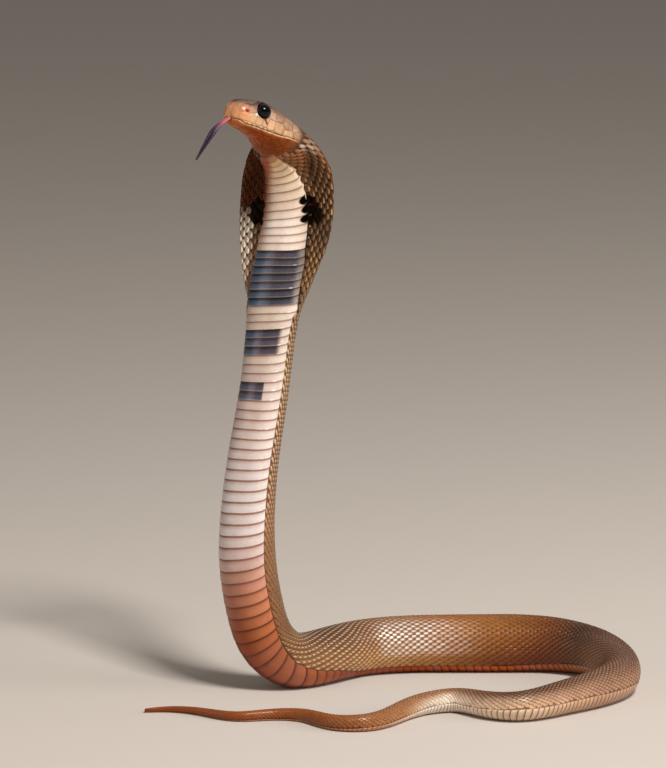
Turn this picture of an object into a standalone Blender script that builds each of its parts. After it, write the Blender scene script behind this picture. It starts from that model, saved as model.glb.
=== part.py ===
"""A young spectacled cobra, reared up with its hood spread, as a still life-size model.

The animal is one long loft. A smooth centreline runs from the snout, down the raised neck, and round a
loop on the floor to the tail tip, and every cross-section comes from a few named sizes along it.
Everything is modelled in millimetres, and `turn_to_metres` ends the script. +Z is up, the floor is z = 0.
"""

import math

import bmesh
import bpy
import numpy as np
from mathutils import Matrix

# Centreline, from the snout tip to the tail tip.
ROUTE = [
    (-19.1, -30.3, 111.8), (-16.5, -28.0, 110.6), (-13.8, -25.4, 109.1), (-11.5, -23.0, 107.2),
    (-9.6, -20.9, 104.9), (-8.4, -19.3, 102.2), (-7.75, -18.2, 98.7), (-7.75, -17.8, 94.4),
    (-8.4, -18.1, 87.6), (-9.5, -18.7, 82.0), (-10.6, -19.5, 76.4), (-11.6, -20.3, 70.2),
    (-13.0, -21.7, 58.3), (-14.9, -23.0, 46.5), (-16.1, -24.0, 36.0), (-16.3, -24.5, 26.0),
    (-14.8, -24.1, 15.6), (-12.3, -23.2, 8.9), (-8.4, -22.0, 5.5), (-2.9, -18.2, 4.85),
    (4.0, -11.4, 4.85), (13.0, -8.0, 4.95), (22.9, -7.4, 5.0), (33.0, -7.4, 5.05),
    (42.6, -8.2, 5.1), (50.3, -12.6, 4.8), (54.4, -19.8, 4.15), (54.6, -28.0, 3.65),
    (50.0, -36.4, 3.35), (42.4, -43.4, 3.1), (34.2, -48.2, 2.8), (28.6, -45.6, 2.5),
    (23.0, -41.2, 2.2), (17.6, -42.8, 2.0), (12.0, -49.4, 1.8), (6.2, -55.6, 1.6),
    (0.6, -55.0, 1.4), (-5.4, -48.9, 1.2), (-11.4, -47.6, 1.05), (-17.6, -48.6, 0.95),
    (-24.4, -44.6, 0.8), (-31.0, -41.8, 0.6), (-36.5, -42.4, 0.42),
]
ORIGIN_SHIFT = (-11.37, 28.88)  # moves the middle of the whole model's box over the origin

# Where the back of the animal faces: distance from the snout, then the direction.
BACK = [
    (0.0, (0.24, 0.20, 0.95)), (8.0, (0.24, 0.20, 0.95)), (13.5, (0.42, 0.50, 0.78)),
    (18.0, (0.50, 0.74, 0.50)), (24.0, (0.50, 0.866, 0.0)), (50.0, (0.49, 0.87, 0.0)),
    (75.0, (0.45, 0.89, 0.0)), (100.0, (0.46, 0.88, 0.08)), (110.0, (0.36, 0.85, 0.40)),
    (118.0, (0.10, 0.62, 0.78)), (126.0, (-0.10, 0.30, 0.95)), (134.0, (0.0, 0.0, 1.0)),
    (180.0, (0.0, 0.0, 1.0)), (205.0, (-0.05, 0.44, 0.89)), (245.0, (0.0, 0.44, 0.89)),
    (275.0, (0.0, 0.0, 1.0)), (400.0, (0.0, 0.0, 1.0)),
]

# Cross-section sizes by distance from the snout. The hood's wings reach past the throat's own half-width.
HALF_WIDTH = [
    (0, 0), (0.08, 1.05), (0.25, 1.8), (0.55, 2.4), (1.0, 2.85), (1.8, 3.2), (3.0, 3.55), (4.5, 3.95),
    (5.6, 4.1), (7.0, 4.2), (9.0, 4.5), (11.0, 4.95), (13.0, 5.45), (14.5, 6.0), (16.0, 7.0),
    (18.0, 8.4), (20.0, 9.2), (22.5, 9.7), (25.5, 10.0), (29.0, 10.1), (32.5, 9.9), (36.0, 9.35),
    (39.0, 8.6), (42.0, 7.75), (45.0, 6.8), (48.0, 5.75), (51.0, 5.1), (56.0, 4.75), (64.0, 4.65),
    (76.0, 4.8), (88.0, 5.1), (100.0, 5.45), (112.0, 5.5), (126.0, 5.45), (146.0, 5.55), (168.0, 5.6),
    (176.0, 5.3), (186.0, 4.6), (196.0, 4.05), (208.0, 3.6), (220.0, 3.2), (230.0, 2.85), (240.0, 2.45),
    (252.0, 2.1), (266.0, 1.7), (280.0, 1.38), (294.0, 1.05), (308.0, 0.75), (316.0, 0.5), (320.0, 0.3),
]
THROAT_HALF_WIDTH = [
    (14.5, 6.0), (18.0, 5.5), (22.0, 5.25), (34.0, 5.3), (42.0, 5.3), (48.0, 5.2), (60.0, 7.0),
]
BACK_HEIGHT = [
    (0, 0), (0.08, 1.0), (0.25, 1.75), (0.55, 2.35), (1.0, 2.8), (1.6, 3.1), (2.3, 3.3), (3.5, 3.55),
    (4.7, 3.75), (6.0, 3.75), (7.5, 3.6), (9.0, 3.45), (11.0, 3.3), (13.0, 3.2), (16.0, 3.1),
    (20.0, 2.9), (26.0, 2.6), (34.0, 2.6), (42.0, 3.1), (50.0, 4.0), (58.0, 4.4), (76.0, 4.7),
    (100.0, 5.3), (112.0, 5.35), (126.0, 5.3), (146.0, 5.6), (168.0, 5.75), (176.0, 5.45), (186.0, 4.75),
    (196.0, 4.2), (208.0, 3.75), (220.0, 3.3), (230.0, 2.9), (240.0, 2.5), (252.0, 2.15), (266.0, 1.75),
    (280.0, 1.4), (294.0, 1.05), (308.0, 0.75), (316.0, 0.5), (320.0, 0.3),
]
BELLY_DEPTH = [
    (0, 0), (0.08, 0.8), (0.25, 1.45), (0.55, 1.95), (1.0, 2.3), (2.6, 2.6), (5.8, 3.0), (9.0, 3.55),
    (10.5, 3.95), (12.5, 4.45), (14.5, 4.85), (17.0, 5.05), (21.0, 5.0), (34.0, 4.9), (42.0, 4.7),
    (50.0, 4.4), (58.0, 4.4), (76.0, 4.7), (100.0, 5.3), (112.0, 5.4), (126.0, 5.35), (146.0, 5.5),
    (168.0, 5.6), (176.0, 5.35), (186.0, 4.75), (196.0, 4.2), (208.0, 3.8), (220.0, 3.3), (230.0, 2.9),
    (240.0, 2.5), (252.0, 2.15), (266.0, 1.8), (280.0, 1.5), (294.0, 1.15), (308.0, 0.85), (316.0, 0.55),
    (320.0, 0.32),
]
WING_CURL = [(0, 0), (14.0, 0), (20.0, 1.2), (26.0, 2.0), (36.0, 2.0), (44.0, 1.3), (51.0, 0)]
WING_THICKNESS = [(0, 0.4), (14.0, 1.4), (20.0, 1.7), (28.0, 1.5), (36.0, 1.5), (44.0, 1.8), (50.0, 0.4)]
BACK_SQUARENESS = [(0, 2.3), (3.0, 2.8), (6.0, 3.1), (9.0, 2.9), (14.0, 2.4), (18.0, 2.0)]
THROAT_SPREAD = [(0, 0.45), (14.0, 0.5), (20.0, 0.72), (30.0, 0.8), (40.0, 0.7), (50.0, 0.5)]
MOUTH_HEIGHT = [
    (0, -0.9), (0.8, -1.1), (2.0, -1.4), (6.0, -1.4), (9.5, -1.15), (12.0, -0.65), (13.6, -0.5),
    (15.2, -1.3),
    (17.3, -2.4),
]
SCUTE_HALF_WIDTH = [
    (12.0, 1.5), (14.0, 2.3), (17.0, 3.2), (19.0, 3.7), (22.0, 4.1), (28.0, 4.7), (34.0, 4.95), (44.0, 5.0),
    (52.0, 4.65), (62.0, 4.4), (76.0, 4.5), (100.0, 4.9), (116.0, 4.85), (130.0, 4.4), (168.0, 4.4),
    (186.0, 4.0), (208.0, 3.25), (225.0, 2.75), (240.0, 2.15), (280.0, 1.15), (320.0, 0.22),
]

GAP = 0.3  # kept between neighbouring pieces
HEAD_END = 17.3  # from the snout, along the centreline
JAW_START = 0.7
JAW_INSET = 0.96  # the lower jaw closes just inside the upper lip
TAIL_TIP = 320.0

HEAD_SECTIONS = [
    0.08, 0.25, 0.55, 1.0, 1.6, 2.3, 3.1, 4.0, 4.8, 5.6, 6.4, 7.4, 8.6, 9.8, 11.0, 12.2, 13.4, 14.8, 16.0,
    HEAD_END - GAP / 2,
]
HEAD_POINTS = (4, 3, 9)  # segments on half of a section: below, side, above
JAW_POINTS = (6, 2, 4)

EYE_AT = 4.85  # from the snout
EYE_SIDE = 3.25
EYE_HEIGHT = 1.75
EYE_RADIUS = 1.45
RIM_RADIUS = 0.26
RIM_REACH = 0.74  # how far out along the eye's axis its rim of skin lies, as a share of the eye's radius
EYE_FACING = (0.88, 0.36, 0.24)  # outward, forward and up
NOSTRIL = {"at": 1.45, "side": 3.05, "height": 1.0, "radius": 0.42}

TONGUE_ROOT = (0.45, -0.95)  # behind the snout tip, and above its middle
NOTCH_RADIUS = 0.78
TONGUE_LENGTH = 11.8
TONGUE_STEPS = 14
TONGUE_FORK = 0.5  # share of the length that is one stem
TONGUE_HALF_WIDTH = (0.42, 0.64)  # at the root and at the fork
TONGUE_THICKNESS = 0.52
TINE_APART = (0.34, 0.16)  # each tine's distance from the middle, at the fork and at the tips
TONGUE_DROOP = (0.26, 0.88)  # radians below level, at the root and at the tips
TONGUE_ROLL = 0.6  # how far the blade turns to face sideways, from 0 to 1

# Nodes of the body: name, start, end, segments on half of a section (belly, side, back), and the belly
# scutes' spacing and height. On the lying stretches each plate stands for about two scutes.
BODY_NODES = [
    ("hood", HEAD_END, 51.0, (5, 5, 7), 1.6, 0.3), ("neck", 51.0, 80.0, (4, 2, 5), 1.8, 0.3),
    ("forebody", 80.0, 104.0, (4, 2, 5), 2.1, 0.3), ("forebody_bend", 104.0, 124.0, (4, 2, 5), 2.2, 0.3),
    ("midbody_front", 124.0, 148.0, (3, 2, 5), 3.0, 0.3), ("midbody_back", 148.0, 169.0, (3, 2, 5), 3.0, 0.3),
    ("loop_front", 169.0, 190.0, (3, 2, 5), 2.8, 0.28), ("loop_back", 190.0, 212.0, (3, 2, 5), 2.6, 0.25),
    ("hindbody", 212.0, 238.0, (3, 2, 4), 2.4, 0.22), ("tail_base", 238.0, 266.0, (3, 1, 4), 2.4, 0.18),
    ("tail_middle", 266.0, 294.0, (2, 1, 4), 2.4, 0.14), ("tail_tip", 294.0, TAIL_TIP, (2, 1, 3), 2.6, 0.08),
]
MERGE = 0.002  # points closer than this after a cut are one
SCUTE_FADE = 5.0  # the throat's first plates rise less
SCUTE_EDGE = 0.12  # how far each plate's free edge overhangs the next one


def table(rows, at):
    """Reads a table of (distance, size) as a smooth monotone curve."""
    xs = np.array([row[0] for row in rows], float)
    ys = np.array([row[1] for row in rows], float)
    slopes = np.diff(ys) / np.diff(xs)
    tangents = np.zeros(len(xs))
    same_way = slopes[1:] * slopes[:-1] > 0
    tangents[1:-1] = np.where(same_way, 2 * slopes[1:] * slopes[:-1] / (slopes[1:] + slopes[:-1] + 1e-12), 0)
    tangents[0], tangents[-1] = slopes[0], slopes[-1]
    at = np.clip(at, xs[0], xs[-1])
    k = np.clip(np.searchsorted(xs, at, side="right") - 1, 0, len(xs) - 2)
    width = xs[k + 1] - xs[k]
    u = (at - xs[k]) / width
    return (
        ys[k] * (1 + 2 * u) * (1 - u) ** 2 + ys[k + 1] * u * u * (3 - 2 * u)
        + width * u * (1 - u) * (tangents[k] * (1 - u) - tangents[k + 1] * u)
    )


def spline(points):
    """A natural cubic through the points, as positions 0.25 mm apart along it."""
    points = np.array(points, float)
    knots = np.concatenate([[0], np.cumsum(np.linalg.norm(np.diff(points, axis=0), axis=1))])
    h = np.diff(knots)
    n = len(points)
    a = np.eye(n)
    b = np.zeros((n, 3))
    for i in range(1, n - 1):
        a[i, i - 1:i + 2] = h[i - 1], 2 * (h[i - 1] + h[i]), h[i]
        b[i] = 6 * ((points[i + 1] - points[i]) / h[i] - (points[i] - points[i - 1]) / h[i - 1])
    bend = np.linalg.solve(a, b)
    t = np.linspace(0, knots[-1], 6000)
    k = np.clip(np.searchsorted(knots, t, side="right") - 1, 0, n - 2)
    u, v, w = (t - knots[k])[:, None], (knots[k + 1] - t)[:, None], h[k][:, None]
    curve = (
        bend[k] * v**3 / (6 * w) + bend[k + 1] * u**3 / (6 * w)
        + (points[k] / w - bend[k] * w / 6) * v + (points[k + 1] / w - bend[k + 1] * w / 6) * u
    )
    along = np.concatenate([[0], np.cumsum(np.linalg.norm(np.diff(curve, axis=0), axis=1))])
    even = np.arange(0, along[-1], 0.25)
    return even, np.stack([np.interp(even, along, curve[:, i]) for i in range(3)], 1)


ALONG, CURVE = spline(ROUTE)
HEADING = np.gradient(CURVE, ALONG, axis=0)
HEADING /= np.linalg.norm(HEADING, axis=1)[:, None]
STRETCH = ALONG[-1] / TAIL_TIP  # the tables' last distance is the curve's own end


def frame(at):
    """Middle, direction to the tail, back and left at a distance from the snout."""
    at = at * STRETCH
    middle = np.array([np.interp(at, ALONG, CURVE[:, i]) for i in range(3)])
    tailward = np.array([np.interp(at, ALONG, HEADING[:, i]) for i in range(3)])
    tailward /= np.linalg.norm(tailward)
    back = np.array([table([(s, d[i]) for s, d in BACK], at) for i in range(3)])
    back = back - tailward * (back @ tailward)
    back /= np.linalg.norm(back)
    return middle, tailward, back, np.cross(tailward, back)


def outline(at, turn):
    """Sideways and backward offsets of the cross-section. Turn runs from 0 at the belly to pi at the back."""
    width = float(table(HALF_WIDTH, at))
    throat = min(width, float(table(THROAT_HALF_WIDTH, at)))
    edge = min(table(WING_THICKNESS, at) / 2, 0.45 * width)
    x = width * np.sin(turn)
    share = np.abs(x) / max(width, 1e-6)
    rim = np.sqrt(np.clip(1 - share**6, 0, 1))
    bend = -table(WING_CURL, at) * share**2
    square = table(BACK_SQUARENESS, at)
    over_back = np.clip(1 - share**square, 0, 1) ** (1 / square)
    inside = np.clip(1 - (np.abs(x) / max(throat, 1e-6)) ** 2, 0, 1) ** table(THROAT_SPREAD, at)
    above = edge * rim + (table(BACK_HEIGHT, at) - edge) * over_back
    below = edge * rim + (table(BELLY_DEPTH, at) - edge) * inside
    return x, bend + np.where(np.cos(turn) > 0, -below, above)


def scute_turn(at):
    """The turn where the belly scutes end and the scales of the side begin."""
    return math.asin(min(float(table(SCUTE_HALF_WIDTH, at) / table(HALF_WIDTH, at)), 0.96))


def mouth_turn(at, height):
    turns = np.linspace(0.02, math.pi - 0.02, 400)
    return float(np.interp(height, outline(at, turns)[1], turns))


def ring(at, counts, split, low=None, high=None, lift=0.0, inset=1.0):
    """Points of one cross-section: evenly up to the split, on to the widest place, and over the back."""
    widest = max(math.pi / 2, split + 0.1)
    half = np.concatenate([
        np.linspace(0, split, counts[0] + 1), np.linspace(split, widest, counts[1] + 1)[1:],
        np.linspace(widest, math.pi, counts[2] + 1)[1:],
    ])
    turn = np.concatenate([half, -half[-2:0:-1]])
    x, y = outline(at, turn)
    if lift:
        raised = np.where(np.abs(turn) <= split + 1e-6, lift, 0)
        x = x + raised * np.sin(turn)
        y = y - raised * np.cos(turn)
    if low is not None:
        y = np.maximum(y, low)
    if high is not None:
        past = np.clip((np.abs(turn) - split) / (math.pi - split), 0, 1)
        x = np.where(past > 0, np.sign(turn) * float(table(HALF_WIDTH, at)) * math.sin(split) * (1 - past), x)
        y = np.minimum(y, high)
    middle, _, back, left = frame(at)
    points = middle + inset * x[:, None] * left + y[:, None] * back
    points[:, 2] = np.maximum(points[:, 2], 0.0)
    return points


def loft(name, rings, material, holder="cobra"):
    """A closed body through rings of the same number of points, with a fan at each end."""
    mesh_tool = bmesh.new()
    rows = [[mesh_tool.verts.new(p) for p in points] for points in rings]
    count = len(rows[0])
    for one, two in zip(rows, rows[1:]):
        for j in range(count):
            k = (j + 1) % count
            mesh_tool.faces.new((one[j], one[k], two[k], two[j]))
    for row, points, way in ((rows[0], rings[0], -1), (rows[-1], rings[-1], 1)):
        hub = mesh_tool.verts.new(points.mean(axis=0))
        for j in range(count):
            mesh_tool.faces.new((row[j], row[(j + 1) % count], hub)[::way])
    bmesh.ops.triangulate(mesh_tool, faces=mesh_tool.faces)
    if mesh_tool.calc_volume(signed=True) < 0:
        bmesh.ops.reverse_faces(mesh_tool, faces=mesh_tool.faces)
    mesh = bpy.data.meshes.new(name)
    mesh_tool.to_mesh(mesh)
    mesh_tool.free()
    mesh.shade_smooth()
    mesh.materials.append(material)
    made = bpy.data.objects.new(name, mesh)
    bpy.data.collections[holder].objects.link(made)
    return made


def new_material(name, colour, roughness):
    material = bpy.data.materials.new(name)
    material.use_nodes = True
    shader = material.node_tree.nodes["Principled BSDF"]
    shader.inputs["Base Color"].default_value = (*colour, 1.0)
    shader.inputs["Roughness"].default_value = roughness
    shader.inputs["Metallic"].default_value = 0.0
    return material


def move_to(made, holder):
    for old in list(made.users_collection):
        old.objects.unlink(made)
    bpy.data.collections[holder].objects.link(made)
    if holder == "cutters":
        made.hide_render = True
        made.display_type = "WIRE"
    return made


def beside(at, side, height):
    """A place beside the centreline."""
    middle, _, back, left = frame(at)
    return middle + side * left + height * back


def ball(name, at, side, height, radius, holder, segments=20):
    bpy.ops.mesh.primitive_uv_sphere_add(
        segments=segments, ring_count=segments // 2, radius=radius, location=beside(at, side, height)
    )
    made = move_to(bpy.context.object, holder)
    made.name = name
    return made


def eye_axis(side):
    """The way an eye faces."""
    _, tailward, back, left = frame(EYE_AT)
    axis = left * side * EYE_FACING[0] - tailward * EYE_FACING[1] + back * EYE_FACING[2]
    return axis / np.linalg.norm(axis)


def eye_rim(name, side, radius):
    """A ring of skin round an eye."""
    axis = eye_axis(side)
    place = beside(EYE_AT, side * EYE_SIDE, EYE_HEIGHT) + axis * EYE_RADIUS * RIM_REACH
    bpy.ops.mesh.primitive_torus_add(
        major_radius=radius, minor_radius=RIM_RADIUS, major_segments=24, minor_segments=8,
        location=place, rotation=(0, math.acos(axis[2]), math.atan2(axis[1], axis[0])),
    )
    made = move_to(bpy.context.object, "head pieces")
    made.name = name


def boolean(body, operation, tool=None, tools=None, solver="EXACT"):
    """Joins or cuts, and applies it."""
    modifier = body.modifiers.new(operation.lower(), "BOOLEAN")
    modifier.operation = operation
    modifier.solver = solver
    if tools:
        modifier.operand_type = "COLLECTION"
        modifier.collection = tools
    else:
        modifier.object = tool
    bpy.context.view_layer.objects.active = body
    bpy.ops.object.modifier_apply(modifier=modifier.name)


def keep_largest(body):
    """Drops every closed surface of a mesh but the one with the most faces."""
    mesh_tool = bmesh.new()
    mesh_tool.from_mesh(body.data)
    bmesh.ops.remove_doubles(mesh_tool, verts=mesh_tool.verts, dist=MERGE)
    bmesh.ops.dissolve_degenerate(mesh_tool, edges=mesh_tool.edges, dist=MERGE)
    unseen = set(mesh_tool.verts)
    groups = []
    while unseen:
        waiting = [unseen.pop()]
        group = set(waiting)
        while waiting:
            vert = waiting.pop()
            for edge in vert.link_edges:
                other = edge.other_vert(vert)
                if other not in group:
                    group.add(other)
                    waiting.append(other)
        unseen -= group
        groups.append(group)
    groups.sort(key=len)
    for group in groups[:-1]:
        bmesh.ops.delete(mesh_tool, geom=list(group), context="VERTS")
    mesh_tool.to_mesh(body.data)
    mesh_tool.free()


def join_pieces(body, pieces):
    """Unites a node's pieces by one Boolean on their collection."""
    boolean(body, "UNION", tools=pieces)
    for piece in list(pieces.objects):
        bpy.data.objects.remove(piece)
    keep_largest(body)


def build_head(skin, lips):
    """The upper head above the mouth line, and the lower jaw below it, back to where the hood begins."""
    upper, lower = [], []
    for at in HEAD_SECTIONS:
        line = float(table(MOUTH_HEIGHT, at))
        above, below = line + GAP / 2, line - GAP / 2
        reached = above > -float(table(BELLY_DEPTH, at))
        upper.append(ring(at, HEAD_POINTS, mouth_turn(at, above) if reached else 0.6, low=above))
        if at > JAW_START:
            lower.append(ring(at, JAW_POINTS, mouth_turn(at, below), high=below, inset=JAW_INSET))
    return loft("head", upper, skin), loft("lower_jaw", lower, lips)


def build_eyes(head, eye):
    """Each eye in its socket, with a rim of skin, and a nostril in front of it."""
    rims = bpy.data.collections["head pieces"]
    for side, word in ((1, "left"), (-1, "right")):
        eye_rim("rim_" + word, side, EYE_RADIUS)
    join_pieces(head, rims)
    for side, word in ((1, "left"), (-1, "right")):
        made = ball("eye_" + word, EYE_AT, side * EYE_SIDE, EYE_HEIGHT, EYE_RADIUS, "cobra")
        made.data.materials.append(eye)
        made.data.shade_smooth()
        socket = ball("socket_" + word, EYE_AT, side * EYE_SIDE, EYE_HEIGHT, EYE_RADIUS + GAP, "cutters")
        boolean(head, "DIFFERENCE", socket)
        nostril = ball(
            "nostril_" + word, NOSTRIL["at"], side * NOSTRIL["side"], NOSTRIL["height"], NOSTRIL["radius"],
            "cutters", 10,
        )
        boolean(head, "DIFFERENCE", nostril)
    keep_largest(head)


def tongue_root():
    middle, tailward, back, _ = frame(0.0)
    return middle + tailward * TONGUE_ROOT[0] + back * TONGUE_ROOT[1]


def cut_notch(pieces):
    """The opening at the front of the mouth, for the tongue."""
    bpy.ops.mesh.primitive_uv_sphere_add(
        segments=16, ring_count=10, radius=NOTCH_RADIUS, location=tongue_root()
    )
    notch = move_to(bpy.context.object, "cutters")
    notch.name = "notch"
    for piece in pieces:
        boolean(piece, "DIFFERENCE", notch, solver="MANIFOLD")
        keep_largest(piece)


def build_tongue(material):
    """A stem that leaves the notch under the snout and droops, and forks into two fine tines."""
    _, tailward, _, left = frame(0.0)
    ahead = -tailward * [1, 1, 0]
    ahead /= np.linalg.norm(ahead)
    places = [tongue_root()]
    ways, acrosses = [], []
    low, high = TONGUE_DROOP
    for i in range(TONGUE_STEPS + 1):
        share = i / TONGUE_STEPS
        droop = low + (high - low) * math.sin(min(1, share / 0.6) * math.pi / 2) ** 1.5
        way = ahead * math.cos(droop) - np.array([0, 0, math.sin(droop)])
        turned = np.cross(np.array([0.0, -0.985, 0.17]), way)
        roll = TONGUE_ROLL * min(1, share / 0.35)
        across = left * (1 - roll) + turned / np.linalg.norm(turned) * roll
        ways.append(way)
        acrosses.append(across / np.linalg.norm(across))
        places.append(places[-1] + way * TONGUE_LENGTH / TONGUE_STEPS)
    corners = [(-1, -0.6), (-1, 0.6), (-0.6, 1), (0.6, 1), (1, 0.6), (1, -0.6), (0.6, -1), (-0.6, -1)]
    fork = round(TONGUE_FORK * TONGUE_STEPS)

    def section(i, sideways, half_width, thin):
        across = acrosses[i]
        up = np.cross(ways[i], across)
        middle_here = places[i] + sideways * across
        return np.array([middle_here + a * half_width * across + b * thin * up for a, b in corners])

    wide = np.linspace(*TONGUE_HALF_WIDTH, fork + 1)
    stem = [section(i, 0, wide[i], TONGUE_THICKNESS / 2) for i in range(fork + 1)]
    tongue = loft("tongue", stem, material)
    for side in (-1, 1):
        tine = []
        for i in range(fork - 1, TONGUE_STEPS + 1):
            share = (i - fork + 1) / (TONGUE_STEPS - fork + 1)
            fade = 1 - 0.8 * max(0, share - 0.2) / 0.8
            sideways = side * np.interp(share, (0, 1), TINE_APART)
            tine.append(section(i, sideways, 0.3 * fade, TONGUE_THICKNESS / 2 * fade * 0.95))
        loft("tine", tine, material, "tongue pieces")
    join_pieces(tongue, bpy.data.collections["tongue pieces"])


def build_body(skin):
    """The hood, neck, body and tail. Their belly scutes are plates, each rising to a free edge behind."""
    for name, start, end, counts, spacing, lift in BODY_NODES:
        first = start + GAP / 2
        last = end - (0.2 if end == TAIL_TIP else GAP / 2)
        plates = round((last - first) / spacing)
        edges = np.linspace(first, last, plates + 1)
        rings = []
        for one, two in zip(edges, edges[1:]):
            rings.append(ring(one + (0 if one == first else SCUTE_EDGE), counts, scute_turn(one)))
            faded = lift * min(1, (two - HEAD_END) / SCUTE_FADE)
            rings.append(ring(two, counts, scute_turn(two), lift=faded))
        loft(name, rings, skin)


def turn_to_metres():
    """Scales every piece, moves the origin under the middle of the model, and drops the cutters."""
    for tool in list(bpy.data.collections["cutters"].objects):
        bpy.data.objects.remove(tool)
    bpy.context.view_layer.update()
    shift = Matrix.Translation((ORIGIN_SHIFT[0], ORIGIN_SHIFT[1], 0.0))
    for piece in bpy.data.collections["cobra"].objects:
        piece.data.transform(Matrix.Scale(0.001, 4) @ shift @ piece.matrix_world)
        piece.matrix_world = Matrix.Identity(4)


def main():
    for old in list(bpy.data.objects):
        bpy.data.objects.remove(old)
    for name in ("cobra", "cutters", "head pieces", "tongue pieces"):
        bpy.context.scene.collection.children.link(bpy.data.collections.new(name))
    skin = new_material("brown skin", (0.36, 0.21, 0.11), 0.45)
    lips = new_material("pale chin", (0.50, 0.29, 0.15), 0.45)
    eye = new_material("black eye", (0.01, 0.01, 0.012), 0.05)
    tongue = new_material("dark tongue", (0.08, 0.04, 0.07), 0.35)
    head, jaw = build_head(skin, lips)
    build_eyes(head, eye)
    cut_notch((head, jaw))
    build_tongue(tongue)
    build_body(skin)
    turn_to_metres()


main()
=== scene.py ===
import math
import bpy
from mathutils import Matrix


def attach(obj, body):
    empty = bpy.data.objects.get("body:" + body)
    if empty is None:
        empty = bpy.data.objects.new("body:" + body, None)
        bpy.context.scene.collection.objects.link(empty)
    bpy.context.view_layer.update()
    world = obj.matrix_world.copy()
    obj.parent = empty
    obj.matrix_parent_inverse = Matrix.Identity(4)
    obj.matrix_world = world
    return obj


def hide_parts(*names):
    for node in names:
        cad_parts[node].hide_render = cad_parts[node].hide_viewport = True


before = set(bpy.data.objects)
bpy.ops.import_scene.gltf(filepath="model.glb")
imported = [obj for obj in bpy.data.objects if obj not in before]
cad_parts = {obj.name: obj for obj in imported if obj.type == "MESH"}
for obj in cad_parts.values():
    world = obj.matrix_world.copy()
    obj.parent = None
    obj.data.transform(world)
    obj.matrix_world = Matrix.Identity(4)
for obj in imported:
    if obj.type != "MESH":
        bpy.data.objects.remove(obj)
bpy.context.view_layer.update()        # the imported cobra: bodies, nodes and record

from types import SimpleNamespace

import bpy
import numpy as np
from mathutils import Vector

rng = np.random.default_rng(7)

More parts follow.
